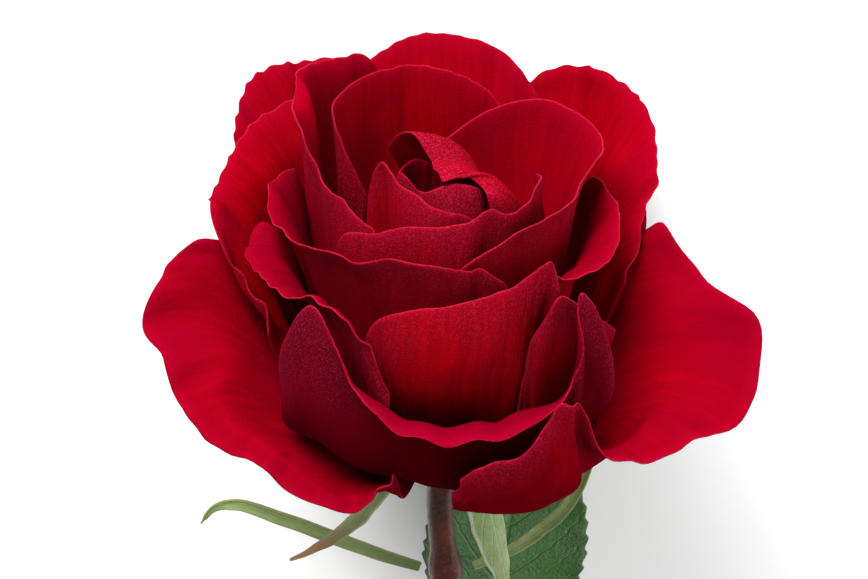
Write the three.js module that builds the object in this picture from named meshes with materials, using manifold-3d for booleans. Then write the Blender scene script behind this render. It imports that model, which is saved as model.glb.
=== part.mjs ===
// A cut rose lying on a flat surface: a double red bloom of separately made petals on a hip,
// five sepals, two narrow bracts, a thorny stem and two compound leaves. Millimetres, +Z up.
//
// The flower is modelled in its own frame first: the bloom's axis is +Z, its seat on the hip is
// the origin, azimuth 0 is the side that ends up uppermost and azimuth 90 is +X. The whole
// flower is then laid down, bloom towards +Y, with its lowest petals and its stem's end on z = 0.
import * as THREE from "three";
import { mergeVertices } from "three/addons/utils/BufferGeometryUtils.js";
import Module from "manifold-3d";

// ---- driving dimensions -------------------------------------------------------------------
const BLOOM_WIDTH = 115; // across the two open side petals
const BLOOM_DEPTH = 57; // from the seat on the hip to the bud's tip
const PETAL_WALL = 0.5;
const PETAL_GAP = 0.4; // least air between two petals
const SEAT_GAP = 0.4; // between petals, sepals, hip and stem where they meet
const HIP_RADIUS = 6.2;
const HIP_LENGTH = 12;
const STEM_RADIUS = 2.5;
const STEM_LENGTH = 235;
const NODE_SWELL = 1.35; // the stem's radius at a node, over its radius between nodes
const SEPAL_LENGTH = 37;
const SEPAL_WIDTH = 8.5;
const SEPAL_WALL = 0.9;
const BRACT_NODE = 45; // below the bloom's seat
const BRACT_LENGTH = 52;
const BRACT_WIDTH = 2.8;
const LEAF_WALL = 0.7;
const STALK_RADIUS = 1.1;
const LEAFLET_LENGTH = 52;
const LEAFLET_WIDTH = 34;
const PRICKLE_LENGTH = 5;

// The petals' outlines are given on a bloom 115 mm wide and 57 mm deep.
const OUTLINE_WIDTH = 115;
const OUTLINE_DEPTH = 57;
const WIDE = BLOOM_WIDTH / OUTLINE_WIDTH;
const DEEP = BLOOM_DEPTH / OUTLINE_DEPTH;
const CORE_HEIGHT = 18; // of the point that the cupped petals wrap round
const FIRST_CLAW = { radius: 2.6, height: 5 }; // where the innermost petal's claw stands
const LAST_CLAW = { radius: 6.4, height: 1 }; // and the outermost petal's
const FULL_CUP = 32; // a petal this tall reaches its whole belly; a shorter edge bellies less
const LEAST_CUP = 0.35;
const BELLY_RISE = 0.3; // of the belly over the claw, per mm that it stands out
const BELLY_FAN = 0.75; // how far the belly turns from the claw's azimuth to the rim's
const RIM_GRIP = 0.38; // how much of a petal's length its rim's lean takes up

const CRIMSON = 0xa80012;
const DARK_CRIMSON = 0x6e0012;
const SEPAL_GREEN = 0x87975c;
const STEM_BROWN = 0x4b1c14;
const LEAF_GREEN = 0x2c4a20;
const PLANT_ROUGHNESS = 0.6;
const PETAL_ROUGHNESS = 0.7;

// ---- petals, from the heart outwards ------------------------------------------------------
// seat: azimuth and half-width, in degrees, of the claw. belly: radius of the cup low down.
// rim: from one edge of the petal round to the other, each point an azimuth, a radius, a height
// and the lean of the petal's end there, in degrees outwards from upright.
// sag: how far the belly hangs in the petal's middle. over: the azimuth that a petal folded over
// the heart comes from. fan: how far the belly turns with the rim. under: petals laid earlier
// that this one tucks beneath.
const PETALS = [
  {
    name: "heart_petal_left",
    seat: [240, 40],
    belly: 6,
    rim: [
      [165, 5, 42, 0], [200, 6, 49, -10], [240, 7, 51, -10], [275, 7.5, 50, 0], [300, 7, 42, 0],
    ],
  },
  {
    name: "heart_petal_front",
    seat: [20, 40],
    belly: 8,
    rim: [
      [-70, 6, 44, 0], [-50, 6.5, 49, 0], [-28, 6, 51.5, -10], [0, 5, 52.5, -30],
      [25, 5.5, 53, -30], [45, 7.5, 52.5, -20], [60, 8.5, 49, 0], [72, 8.5, 40, 0],
    ],
  },
  {
    name: "heart_petal_hood",
    seat: [120, -60],
    belly: 14,
    over: 98,
    fan: 0,
    rim: [
      [235, 9, 44, -20], [240, 6.5, 49, -60], [246, 4, 52, -90], [275, 2, 52.5, -105],
      [340, 3.4, 52.5, -110], [357, 5.2, 51.5, -112], [376, 5.3, 52.3, -110], [398, 6.2, 52, -100],
      [404, 8.2, 51, -90], [402, 10, 50, -60], [404, 11, 46.5, -30], [412, 12, 40, 0],
    ],
  },
  {
    name: "bud_petal_pointed",
    seat: [-30, 40],
    belly: 15,
    rim: [
      [-100, 12, 40, 0], [-80, 12.5, 50, 0], [-60, 11.5, 57, 15], [-40, 11.5, 56, 0],
      [-22, 12, 55.5, -10], [-5, 13, 54, -10], [20, 13, 51.5, -5], [45, 14, 44, 0],
    ],
  },
  {
    name: "back_petal_inner",
    seat: [206, 32],
    belly: 27,
    rim: [
      [147, 25.8, 42, 10], [161, 27, 49.5, 10], [174, 27, 53, 10], [186, 27.5, 54.5, 8],
      [200, 27, 55.5, 5], [220, 25.5, 56, 5], [237, 22.5, 54, 5], [240, 19, 48, 0],
      [236, 16, 40, 0],
    ],
  },
  {
    name: "left_petal_tall",
    seat: [262, 42],
    belly: 22,
    rim: [
      [200, 31, 50, 10], [206, 31, 56.5, 15], [218, 31, 58, 20], [233, 30.5, 58, 40],
      [241, 28, 56.5, 60], [258, 24.5, 56.5, 20], [272, 20.5, 51.5, 5], [290, 18, 50, 0],
      [312, 16, 49, -5], [325, 16, 44, 0],
    ],
  },
  {
    name: "front_petal_inner",
    seat: [20, 45],
    belly: 19,
    rim: [
      [-64, 20, 41, 0], [-56, 20, 47.5, 0], [-38, 18.5, 50.5, -5], [-20, 17.5, 53, -5],
      [10, 16.5, 53.5, -5], [25, 16.5, 55.5, 5], [38, 17, 53.5, 0], [52, 17.5, 54, 5],
      [62, 18, 56, 10], [76, 15.5, 54, 0], [86, 15.5, 50, 0], [96, 15, 42, 0],
    ],
  },
  {
    name: "right_petal_wrap",
    seat: [84, 42],
    belly: 21,
    under: ["back_petal_inner"],
    fan: 0.5,
    rim: [
      [190, 13, 38, 0], [185, 13.5, 45.5, 0], [174, 16.5, 47.5, 5], [162, 20.5, 49.7, 8],
      [150, 24, 51.7, 10], [136, 26.8, 52.8, 15], [121, 28.4, 52.8, 25], [106, 28.3, 53.2, 35],
      [92, 26, 54.3, 30], [78, 23.5, 52.5, 25], [64, 22, 51.5, 30], [48, 21, 51.7, 30],
      [32, 20.5, 50.8, 30], [10, 20.5, 48.3, 20], [-2, 20, 42, 5],
    ],
  },
  {
    name: "left_petal_lipped",
    seat: [-35, 48],
    belly: 24.5,
    rim: [
      [-122, 25, 34, 0], [-117, 26, 40, 20], [-108, 28.5, 42, 50], [-98, 30, 44.5, 60],
      [-87, 29.5, 43.5, 65], [-78, 29, 44.5, 50], [-66, 27.5, 46, 40], [-48, 26.5, 49, 40],
      [-32, 26, 50.5, 30], [-16, 25, 52, 20], [6, 24.5, 51, 10], [17, 24, 49, 5],
      [26, 24, 44.5, 5], [31, 24, 36, 0],
    ],
  },
  {
    name: "right_petal_middle",
    seat: [80, 45],
    belly: 25,
    rim: [
      [118, 26, 38, 0], [108, 27.5, 44.5, 10], [96, 28.5, 45.5, 30], [85, 30, 45.5, 50],
      [74, 31, 45, 65], [63, 31.5, 45, 70], [54, 31.3, 45.5, 70], [46, 31, 46, 60],
      [40, 29.5, 47.5, 40], [34, 27.3, 49, 10], [30, 26.3, 46, 0], [28, 26, 36, 0],
    ],
  },
  {
    name: "front_petal_bellied",
    seat: [4, 32],
    belly: 26.5,
    rim: [
      [-28, 27, 22, 0], [-26.5, 28.5, 32, 5], [-25, 30, 39, 10], [-19, 30, 44, 0],
      [-8, 29.5, 46.5, -5], [9, 29.5, 48, -5], [21, 29, 49, 0], [28, 29, 50.5, 5],
      [33, 29, 51, 10], [36, 29, 44, 5], [38, 29, 32, 0],
    ],
  },
  {
    name: "right_petal_inner",
    seat: [54, 30],
    belly: 28,
    rim: [
      [24, 29, 18, 0], [25, 30, 29, 0], [26, 31, 37, 0], [27.5, 31.8, 42, 0], [32, 32.2, 47, 5],
      [39, 32.5, 43.5, 5], [48, 32, 38, 5], [60, 31.5, 32, 5], [72, 31, 25, 5],
    ],
  },
  {
    name: "left_petal_reflexed",
    seat: [-50, 46],
    belly: 27,
    rim: [
      [-104, 29, 28, 10], [-97, 31.5, 38.5, 60], [-90, 33.5, 37.5, 90], [-84, 34.5, 36.5, 100],
      [-76, 33.5, 37, 90], [-68, 33, 38, 80], [-58, 33, 40, 70], [-46, 33, 43, 60],
      [-35, 32.5, 45, 55], [-26, 32.5, 43, 50], [-20, 32.5, 39, 30], [-16, 31.5, 31, 10],
    ],
  },
  {
    name: "front_petal_jaw",
    seat: [1, 54],
    belly: 50,
    sag: 26,
    rim: [
      [-54, 34, 24, 0], [-48, 35, 33, 0], [-42, 35.5, 41, 0], [-35, 35.5, 47.5, 0],
      [-28, 36, 43, 10], [-23, 38.5, 36, 50], [-17, 41, 33.5, 85], [-10, 42.5, 31, 100],
      [-5, 43, 30, 105], [2, 43.5, 28.5, 110], [8, 43, 30, 105], [14, 43.5, 28.5, 105],
      [20, 42.5, 31, 95], [26, 41, 31.5, 70], [31, 39, 33.5, 30], [33.5, 37, 36.5, 5],
      [34.5, 35, 41.5, -5], [35, 33.5, 45.5, 0], [36, 33, 47.5, 0], [41.5, 33.5, 42, 0],
      [47, 34, 31, 0],
    ],
  },
  {
    name: "left_petal_round",
    seat: [248, 42],
    belly: 29,
    rim: [
      [212, 35, 38, 20], [220, 38, 47.5, 40], [232, 41, 45.5, 60], [243, 41, 45.5, 65],
      [254, 40.5, 43, 70], [262, 39, 40, 75], [270, 35, 38.5, 60], [278, 32, 32, 30],
      [285, 32, 30, 15], [291, 32, 26, 5],
    ],
  },
  {
    name: "back_petal_top",
    seat: [180, 44],
    belly: 31,
    rim: [
      [145, 40, 32, 20], [155, 43.5, 38.5, 30], [165, 46, 45.5, 35], [180, 46, 49.5, 35],
      [195, 44.5, 47.5, 35], [206, 42.5, 41, 30], [212, 40, 34, 20],
    ],
  },
  {
    name: "right_petal_round",
    seat: [122, 44],
    belly: 31,
    rim: [
      [166, 42, 30, 20], [160, 44, 37, 40], [149, 45.5, 42.5, 50], [136, 46.5, 46, 55],
      [125, 45.5, 46, 60], [113, 41.5, 43.5, 60], [104, 38.5, 40.5, 60], [94, 34.5, 37, 50],
      [84, 32, 30, 20],
    ],
  },
  {
    name: "back_petal_left",
    seat: [218, 40],
    belly: 33,
    rim: [
      [186, 46, 31, 30], [197, 48.5, 42, 45], [210, 51, 45, 50], [221, 52, 45.5, 55],
      [230, 50, 41, 55], [236, 45, 33, 40], [240, 39, 26, 20],
    ],
  },
  {
    name: "left_petal_wing",
    seat: [-62, 44],
    belly: 32,
    rim: [
      [-104, 33, 22, 30], [-97, 38, 33, 75], [-92, 44.5, 33, 95], [-88, 49.5, 30, 105],
      [-82, 53.5, 24, 110], [-74, 51, 21.5, 115], [-66, 50.5, 17.5, 120], [-57, 49, 14.5, 120],
      [-46, 45.5, 13.5, 120], [-36, 44, 10.5, 120], [-28, 42, 8, 120], [-20, 39, 9.5, 110],
      [-16, 35.5, 13, 70], [-13, 32.5, 14, 40],
    ],
  },
  {
    name: "right_petal_wing",
    seat: [62, 46],
    belly: 34,
    rim: [
      [106, 36, 30, 30], [99, 39, 37.5, 60], [92, 44, 32, 85], [85, 50, 28.5, 95],
      [80, 56.5, 26.5, 100], [73, 57, 19.5, 110], [63, 57.5, 18.5, 110], [55, 55, 19.5, 105],
      [47, 54, 20.5, 100], [40, 52, 21, 95], [35, 49, 23, 80], [31, 45.5, 30, 50],
      [28, 45, 36, 20], [24, 45, 38, 5], [20, 45.5, 33.5, 0], [13, 45.5, 28, 0],
      [7, 44.5, 26.5, 0], [4, 42, 21, 0], [2, 38, 14, 0],
    ],
  },
  {
    name: "guard_petal_back",
    seat: [178, 44],
    belly: 36,
    rim: [
      [140, 44, 22, 50], [150, 48, 30, 70], [165, 49, 33, 80], [180, 49, 34, 80],
      [195, 49, 33, 80], [208, 48, 29, 70], [216, 44, 22, 50],
    ],
  },
  {
    name: "guard_petal_left",
    seat: [226, 42],
    belly: 35,
    rim: [
      [196, 43, 18, 50], [206, 46, 25, 70], [218, 47, 28, 80], [232, 46, 28, 80],
      [244, 42, 25, 70], [252, 37, 18, 50],
    ],
  },
  {
    name: "guard_petal_right",
    seat: [138, 42],
    belly: 35,
    rim: [
      [108, 36, 17, 50], [118, 42, 25, 70], [130, 46, 28, 80], [144, 47, 28, 80],
      [156, 46, 25, 75], [166, 43, 18, 50],
    ],
  },
];

// ---- small helpers ------------------------------------------------------------------------
const radians = (degrees) => (degrees * Math.PI) / 180;
const mix = (a, b, t) => a + (b - a) * t;
const clamp = (x, lo, hi) => Math.min(hi, Math.max(lo, x));

// A point at an azimuth, a radius and a height in the flower's frame.
function around(azimuth, radius, height) {
  const a = radians(azimuth);
  return new THREE.Vector3(radius * Math.sin(a), -radius * Math.cos(a), height);
}

// A smooth curve through a list of rows, at t from 0 to 1.
function through(rows, t) {
  const last = rows.length - 1;
  const at = clamp(t, 0, 1) * last;
  const i = Math.min(last - 1, Math.floor(at));
  const f = at - i;
  const row = (k) => rows[clamp(k, 0, last)];
  return rows[i].map((_, c) => {
    const [p, q, r, s] = [row(i - 1)[c], row(i)[c], row(i + 1)[c], row(i + 2)[c]];
    return q + 0.5 * f * (r - p + f * (2 * p - 5 * q + 4 * r - s + f * (3 * (q - r) + s - p)));
  });
}

// ---- the petals' nest ---------------------------------------------------------------------
// Directions from the core are sorted into cells, and each petal notes how far out it reaches in
// each cell. A petal laid later is moved out past the reach of the petals it lies over.
const CORE = new THREE.Vector3(0, 0, CORE_HEIGHT * DEEP);
const CELLS_ROUND = 120;
const CELLS_UP = 90;
const ROUND_STEP = 360 / CELLS_ROUND;
const UP_STEP = 180 / CELLS_UP;
const LAY_ACROSS = 24;
const LAY_ALONG = 24;
const SETTLE_PASSES = 2;

function direction(point) {
  const away = point.clone().sub(CORE);
  const reach = away.length();
  const turn = (Math.atan2(away.x, -away.y) * 180) / Math.PI;
  const rise = (Math.asin(clamp(away.z / reach, -1, 1)) * 180) / Math.PI;
  return { reach, turn: (turn + 360) % 360, rise: rise + 90 };
}

const cellOf = (turn, rise) => [
  Math.floor(turn / ROUND_STEP) % CELLS_ROUND,
  clamp(Math.floor(rise / UP_STEP), 0, CELLS_UP - 1),
];

// The farthest reach of the given petals in a cell and those beside it.
function reachAt(nests, turn, rise) {
  const [a, b] = cellOf(turn, rise);
  let most = 0;
  for (const nest of nests)
    for (let i = -1; i <= 1; i++)
      for (let j = -1; j <= 1; j++) {
        const row = clamp(b + j, 0, CELLS_UP - 1);
        most = Math.max(most, nest[((a + i + CELLS_ROUND) % CELLS_ROUND) * CELLS_UP + row]);
      }
  return most;
}

// The petal as drawn: a sheet of curves from the claw to the rim. u and v run from 0 to 1.
function drawn(petal, order, u, v) {
  const [middle, half] = petal.seat;
  const [azimuth, radius, height, lean] = through(petal.rim, u);
  const turned = petal.rim[0][0] > petal.rim[petal.rim.length - 1][0] ? -1 : 1;
  const seatAzimuth = middle + turned * half * (2 * u - 1);
  const near = middle + ((((azimuth - middle) % 360) + 540) % 360) - 180;
  const seatRadius = mix(FIRST_CLAW.radius, LAST_CLAW.radius, order);
  const start = around(seatAzimuth, seatRadius, mix(FIRST_CLAW.height, LAST_CLAW.height, order) * DEEP);
  const end = around(near, radius * WIDE, height * DEEP);
  const side = clamp((end.z - start.z) / (FULL_CUP * DEEP), LEAST_CUP, 1);
  const belly = seatRadius + (petal.belly * WIDE - seatRadius) * side;
  const sag = (petal.sag ?? 0) * Math.sin(Math.PI * u) ** 2;
  const lowHeight = start.z + BELLY_RISE * (belly - seatRadius) - sag;
  const low = around(mix(seatAzimuth, near, petal.fan ?? BELLY_FAN), belly, lowHeight);
  const grip = RIM_GRIP * end.distanceTo(start);
  const outwards = radians(petal.over ?? near);
  const out = grip * Math.sin(radians(lean));
  const high = end.clone();
  high.x -= out * Math.sin(outwards);
  high.y += out * Math.cos(outwards);
  high.z -= grip * Math.cos(radians(lean));
  return new THREE.CubicBezierCurve3(start, low, high, end).getPoint(v);
}

// How far each point of a petal has to move out from the core, on an even mesh of its sheet.
function settle(petal, order, nests) {
  const rows = LAY_ACROSS + 1;
  const shift = new Float64Array(rows * (LAY_ALONG + 1));
  const pitch = PETAL_WALL + PETAL_GAP;
  for (let i = 0; i <= LAY_ACROSS; i++)
    for (let j = 0; j <= LAY_ALONG; j++) {
      const { reach, turn, rise } = direction(drawn(petal, order, i / LAY_ACROSS, j / LAY_ALONG));
      const taken = reachAt(nests, turn, rise);
      shift[j * rows + i] = taken > 0 ? Math.max(0, taken + pitch - reach) : 0;
    }
  return smoothed(smoothed(spread(shift, rows), rows), rows);
}

// Each point's shift becomes the largest near it, and then the mean near it.
const spread = (shift, rows) => near(shift, rows, SETTLE_PASSES, (all) => Math.max(...all));
const smoothed = (shift, rows) =>
  near(shift, rows, SETTLE_PASSES - 1, (all) => all.reduce((a, b) => a + b) / all.length);

function near(shift, rows, size, pick) {
  const count = shift.length / rows;
  return shift.map((_, at) => {
    const [i, j] = [at % rows, Math.floor(at / rows)];
    const all = [];
    for (let b = -size; b <= size; b++)
      for (let a = -size; a <= size; a++)
        all.push(shift[clamp(j + b, 0, count - 1) * rows + clamp(i + a, 0, rows - 1)]);
    return pick(all);
  });
}

// The petal as it lies in the bloom.
function laid(petal, order, shift, u, v) {
  const point = drawn(petal, order, u, v);
  const rows = LAY_ACROSS + 1;
  const [x, y] = [clamp(u, 0, 1) * LAY_ACROSS, clamp(v, 0, 1) * LAY_ALONG];
  const i = Math.min(LAY_ACROSS - 1, Math.floor(x));
  const j = Math.min(LAY_ALONG - 1, Math.floor(y));
  const at = (a, b) => shift[(j + b) * rows + i + a];
  const out = mix(mix(at(0, 0), at(1, 0), x - i), mix(at(0, 1), at(1, 1), x - i), y - j);
  return point.add(point.clone().sub(CORE).setLength(out));
}

// The reach of one laid petal, cell by cell.
function reachOf(petal, order, shift) {
  const nest = new Float64Array(CELLS_ROUND * CELLS_UP);
  const steps = 4 * LAY_ACROSS;
  for (let i = 0; i <= steps; i++)
    for (let j = 0; j <= steps; j++) {
      const { reach, turn, rise } = direction(laid(petal, order, shift, i / steps, j / steps));
      const [a, b] = cellOf(turn, rise);
      nest[a * CELLS_UP + b] = Math.max(nest[a * CELLS_UP + b], reach);
    }
  return nest;
}

// ---- solids -------------------------------------------------------------------------------
const SLOPE_STEP = 1e-3; // how far apart two points are taken to find a sheet's slope

// A closed shell of even wall round a sheet of points: two skins and the edge between them.
function shell(pointAt, across, along, wall) {
  const step = SLOPE_STEP;
  const skins = [-0.5, 0.5].map((side) => {
    const points = [];
    for (let j = 0; j <= along; j++)
      for (let i = 0; i <= across; i++) {
        const [u, v] = [i / across, j / along];
        const du = pointAt(Math.min(1, u + step), v).sub(pointAt(Math.max(0, u - step), v));
        const dv = pointAt(u, Math.min(1, v + step)).sub(pointAt(u, Math.max(0, v - step)));
        const normal = du.cross(dv).normalize();
        points.push(pointAt(u, v).addScaledVector(normal, side * wall));
      }
    return points;
  });
  const positions = skins.flat().flatMap((p) => [p.x, p.y, p.z]);
  const row = across + 1;
  const skinSize = row * (along + 1);
  const faces = [];
  const quad = (a, b, c, d) => faces.push(a, b, c, a, c, d);
  for (let j = 0; j < along; j++)
    for (let i = 0; i < across; i++) {
      const a = j * row + i;
      quad(skinSize + a, skinSize + a + 1, skinSize + a + row + 1, skinSize + a + row);
      quad(a, a + row, a + row + 1, a + 1);
    }
  const edge = [];
  for (let i = 0; i < across; i++) edge.push(i);
  for (let j = 0; j < along; j++) edge.push(j * row + across);
  for (let i = across; i > 0; i--) edge.push(along * row + i);
  for (let j = along; j > 0; j--) edge.push(j * row);
  edge.forEach((a, k) => {
    const b = edge[(k + 1) % edge.length];
    quad(a, b, skinSize + b, skinSize + a);
  });
  return closed(positions, faces);
}

// A geometry with its faces turned to point out.
function closed(positions, faces) {
  const geometry = new THREE.BufferGeometry();
  geometry.setAttribute("position", new THREE.Float32BufferAttribute(positions, 3));
  const corner = (k) => new THREE.Vector3().fromArray(positions, 3 * faces[k]);
  let volume = 0;
  for (let k = 0; k < faces.length; k += 3)
    volume += corner(k).dot(corner(k + 1).cross(corner(k + 2)));
  if (volume < 0)
    for (let k = 0; k < faces.length; k += 3)
      [faces[k + 1], faces[k + 2]] = [faces[k + 2], faces[k + 1]];
  geometry.setIndex(faces);
  geometry.computeVertexNormals();
  return geometry;
}

function piece(name, geometry, color, roughness = PLANT_ROUGHNESS) {
  const material = new THREE.MeshStandardMaterial({ color, roughness, metalness: 0 });
  const mesh = new THREE.Mesh(geometry, material);
  mesh.name = name;
  return mesh;
}

const PETAL_ACROSS = 9;
const PETAL_ALONG = 8;

function buildPetals() {
  const nests = new Map();
  return PETALS.map((petal, k) => {
    const order = k / (PETALS.length - 1);
    const inside = [...nests.keys()].filter((name) => !(petal.under || []).includes(name));
    const shift = settle(petal, order, inside.map((name) => nests.get(name)));
    nests.set(petal.name, reachOf(petal, order, shift));
    const sheet = (u, v) => laid(petal, order, shift, u, v);
    const color = k % 2 ? CRIMSON : DARK_CRIMSON;
    return piece(petal.name, shell(sheet, PETAL_ACROSS, PETAL_ALONG, PETAL_WALL), color, PETAL_ROUGHNESS);
  });
}

// ---- blades: sepals, bracts and leaflets ----------------------------------------------------
const BLADE_FOOT = 0.02; // a blade runs over this part of its line
const BLADE_TIP = 0.99;

// A thin blade along a line. It faces `face`, is `width` wide where its outline is 1, and its
// edges stand up by `cup` times the half-width.
function blade(name, { line, width, outline, face, cup, wall, color, across = 4, along = 9 }) {
  const sheet = (u, v) => {
    const t = mix(BLADE_FOOT, BLADE_TIP, v);
    const along = line.getTangent(t);
    const side = new THREE.Vector3().crossVectors(along, face).normalize();
    const normal = new THREE.Vector3().crossVectors(side, along).normalize();
    const half = 0.5 * width * outline(v);
    const s = 2 * u - 1;
    const point = line.getPoint(t).addScaledVector(side, s * half);
    return point.addScaledVector(normal, cup * half * s * s);
  };
  return piece(name, shell(sheet, across, along, wall), color);
}

// A round rod along a line, with its own radius at each step, closed at both ends.
function rod(line, radiusAt, sides, steps) {
  const positions = [];
  const faces = [];
  const frames = line.computeFrenetFrames(steps, false);
  const push = (p) => positions.push(p.x, p.y, p.z);
  for (let j = 0; j <= steps; j++)
    for (let i = 0; i < sides; i++) {
      const a = (2 * Math.PI * i) / sides;
      const p = line.getPointAt(j / steps);
      p.addScaledVector(frames.normals[j], radiusAt(j / steps) * Math.cos(a));
      push(p.addScaledVector(frames.binormals[j], radiusAt(j / steps) * Math.sin(a)));
    }
  push(line.getPointAt(0));
  push(line.getPointAt(1));
  const [first, last] = [sides * (steps + 1), sides * (steps + 1) + 1];
  for (let i = 0; i < sides; i++) {
    const next = (i + 1) % sides;
    for (let j = 0; j < steps; j++) {
      const [a, b] = [j * sides, (j + 1) * sides];
      faces.push(a + i, a + next, b + next, a + i, b + next, b + i);
    }
    faces.push(first, next, i, last, steps * sides + i, steps * sides + next);
  }
  return closed(positions, faces);
}

const curve = (...points) => new THREE.CatmullRomCurve3(points.map((p) => new THREE.Vector3(...p)));

// ---- hip and stem ---------------------------------------------------------------------------
// The hip's outline, each point a share of its radius and of its length below its top.
const HIP_OUTLINE = [
  [0, 0], [0.55, 0.02], [0.9, -0.12], [1, -0.36],
  [0.86, -0.68], [0.58, -0.9], [0.46, -1], [0, -1],
];
const HIP_SIDES = 20;

// The hip sits just under the lowest petal, and the stem just under the hip.
function buildHip(top) {
  const profile = HIP_OUTLINE.map(([r, z]) => new THREE.Vector2(r * HIP_RADIUS, z * HIP_LENGTH));
  const geometry = new THREE.LatheGeometry(profile.reverse(), HIP_SIDES);
  geometry.rotateX(Math.PI / 2);
  geometry.translate(0, 0, top);
  return piece("hip", geometry, SEPAL_GREEN);
}

// Where the stem's centre is at each height: it leans a little and bends at its nodes.
const STEM_BENDS = [[0, 0], [-0.6, 0], [0.6, 0.3], [4, 1], [10, 0.5], [13, -0.5], [11, -1]];
const NECK_BEND = 0.57; // where the first bend is, between the bloom's seat and the bract node
const BENDS_BELOW = [0, 45, 90, 150]; // of the bract node
const NODES_BELOW = [0, 62, 118]; // of the bract node
const NODE_HEIGHTS = NODES_BELOW.map((below) => -BRACT_NODE - below);
const NODE_SPREAD = 4; // half of a node's length along the stem
const FOOT_SPREAD = 1.12; // the stem's radius at its cut end, over its radius at the hip
const STEM_SIDES = 8;
const STEM_STEPS = 34;

function stemLine(top) {
  const below = BENDS_BELOW.map((depth) => -BRACT_NODE - depth);
  const bends = [top, -BRACT_NODE * NECK_BEND, ...below, top - STEM_LENGTH];
  return curve(...STEM_BENDS.map(([x, y], k) => [x, y, bends[k]]));
}

function stemRadius(line, t) {
  const height = line.getPointAt(t).z;
  const swell = NODE_HEIGHTS.reduce((sum, h) => sum + Math.exp(-(((height - h) / NODE_SPREAD) ** 2)), 0);
  return STEM_RADIUS * mix(1, FOOT_SPREAD, t) * (1 + (NODE_SWELL - 1) * swell);
}

// The stem's centre at a height.
function stemAt(line, height) {
  let [low, high] = [0, 1];
  for (let k = 0; k < 24; k++) {
    const t = (low + high) / 2;
    if (line.getPointAt(t).z > height) low = t;
    else high = t;
  }
  return line.getPointAt(low);
}

// Each prickle: height, azimuth on the stem.
const PRICKLES = [
  [-62, 75], [-78, -110], [-97, 20], [-118, 150],
  [-140, -60], [-168, 95], [-186, -150], [-214, 10],
];
const PRICKLE_DROP = 2; // how far a prickle's tip is below its root
const PRICKLE_HOOK = 0.5; // how far its middle is above a straight line
const PRICKLE_ROOT = 1.9; // radius
const PRICKLE_TIP = 0.15;

function prickle(line, height, azimuth) {
  const foot = stemAt(line, height);
  const out = around(azimuth, 1, 0);
  const root = foot.clone().addScaledVector(out, STEM_RADIUS * 0.5);
  const tip = foot.clone().addScaledVector(out, STEM_RADIUS + PRICKLE_LENGTH);
  tip.z -= PRICKLE_DROP;
  const middle = root.clone().lerp(tip, 0.5);
  middle.z += PRICKLE_HOOK;
  const spine = new THREE.QuadraticBezierCurve3(root, middle, tip);
  return rod(spine, (t) => mix(PRICKLE_ROOT, PRICKLE_TIP, t ** 0.6), 6, 3);
}

async function solids() {
  const wasm = await Module();
  wasm.setup();
  return {
    solidOf(geometry) {
      const bare = new THREE.BufferGeometry();
      bare.setAttribute("position", geometry.getAttribute("position"));
      bare.setIndex(geometry.getIndex());
      const merged = mergeVertices(bare, 1e-4);
      const vertProperties = merged.getAttribute("position").array;
      const triVerts = new Uint32Array(merged.getIndex().array);
      return new wasm.Manifold(new wasm.Mesh({ numProp: 3, vertProperties, triVerts }));
    },
    geometryOf(solid) {
      const mesh = solid.getMesh();
      const geometry = new THREE.BufferGeometry();
      geometry.setAttribute("position", new THREE.BufferAttribute(mesh.vertProperties, 3));
      geometry.setIndex(new THREE.BufferAttribute(mesh.triVerts, 1));
      geometry.computeVertexNormals();
      return geometry;
    },
  };
}

async function buildStem(line) {
  const { solidOf, geometryOf } = await solids();
  let stem = solidOf(rod(line, (t) => stemRadius(line, t), STEM_SIDES, STEM_STEPS));
  for (const [height, azimuth] of PRICKLES)
    stem = stem.add(solidOf(prickle(line, height, azimuth)));
  return piece("stem", geometryOf(stem), STEM_BROWN);
}

// ---- sepals ---------------------------------------------------------------------------------
// Five sepals hang from the hip's rim. Each: name, azimuth, how far it turns up at its tip, in
// degrees from straight down, and its share of the full width.
const SEPALS = [
  ["sepal_left", -72, 84, 0.55],
  ["sepal_front", 48, 14, 1],
  ["sepal_right", 120, 75, 0.9],
  ["sepal_back", 172, 40, 1],
  ["sepal_back_left", 236, 75, 0.9],
];

const SEPAL_STEPS = 12;
const SEPAL_ROOT_TURN = 16; // degrees out from straight down, at the hip
const SEPAL_DROP = 1.5; // of a sepal's root, below the hip's top

function buildSepal(name, azimuth, turnUp, share, top) {
  const points = [];
  let radius = HIP_RADIUS + SEPAL_WALL + SEAT_GAP;
  let height = top - SEPAL_DROP;
  for (let k = 0; k <= SEPAL_STEPS; k++) {
    points.push(around(azimuth, radius, height));
    const angle = radians(mix(SEPAL_ROOT_TURN, turnUp, (k / SEPAL_STEPS) ** 1.4));
    radius += (SEPAL_LENGTH / SEPAL_STEPS) * Math.sin(angle);
    height -= (SEPAL_LENGTH / SEPAL_STEPS) * Math.cos(angle);
  }
  return blade(name, {
    line: new THREE.CatmullRomCurve3(points),
    width: SEPAL_WIDTH * share,
    outline: (v) => Math.max(0.08, Math.sin(Math.PI * (0.24 + 0.76 * v)) ** 0.9),
    face: around(azimuth, 1, 0),
    cup: -0.35,
    wall: SEPAL_WALL,
    color: SEPAL_GREEN,
  });
}

// ---- bracts and leaves ----------------------------------------------------------------------
function buildBract(name, line) {
  return blade(name, {
    line,
    width: BRACT_WIDTH,
    outline: (v) => Math.max(0.12, Math.sin(Math.PI * (0.2 + 0.8 * v)) ** 0.7),
    face: new THREE.Vector3(0, -1, 0.5),
    cup: 0.4,
    wall: LEAF_WALL,
    color: LEAF_GREEN,
    across: 2,
    along: 12,
  });
}

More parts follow.
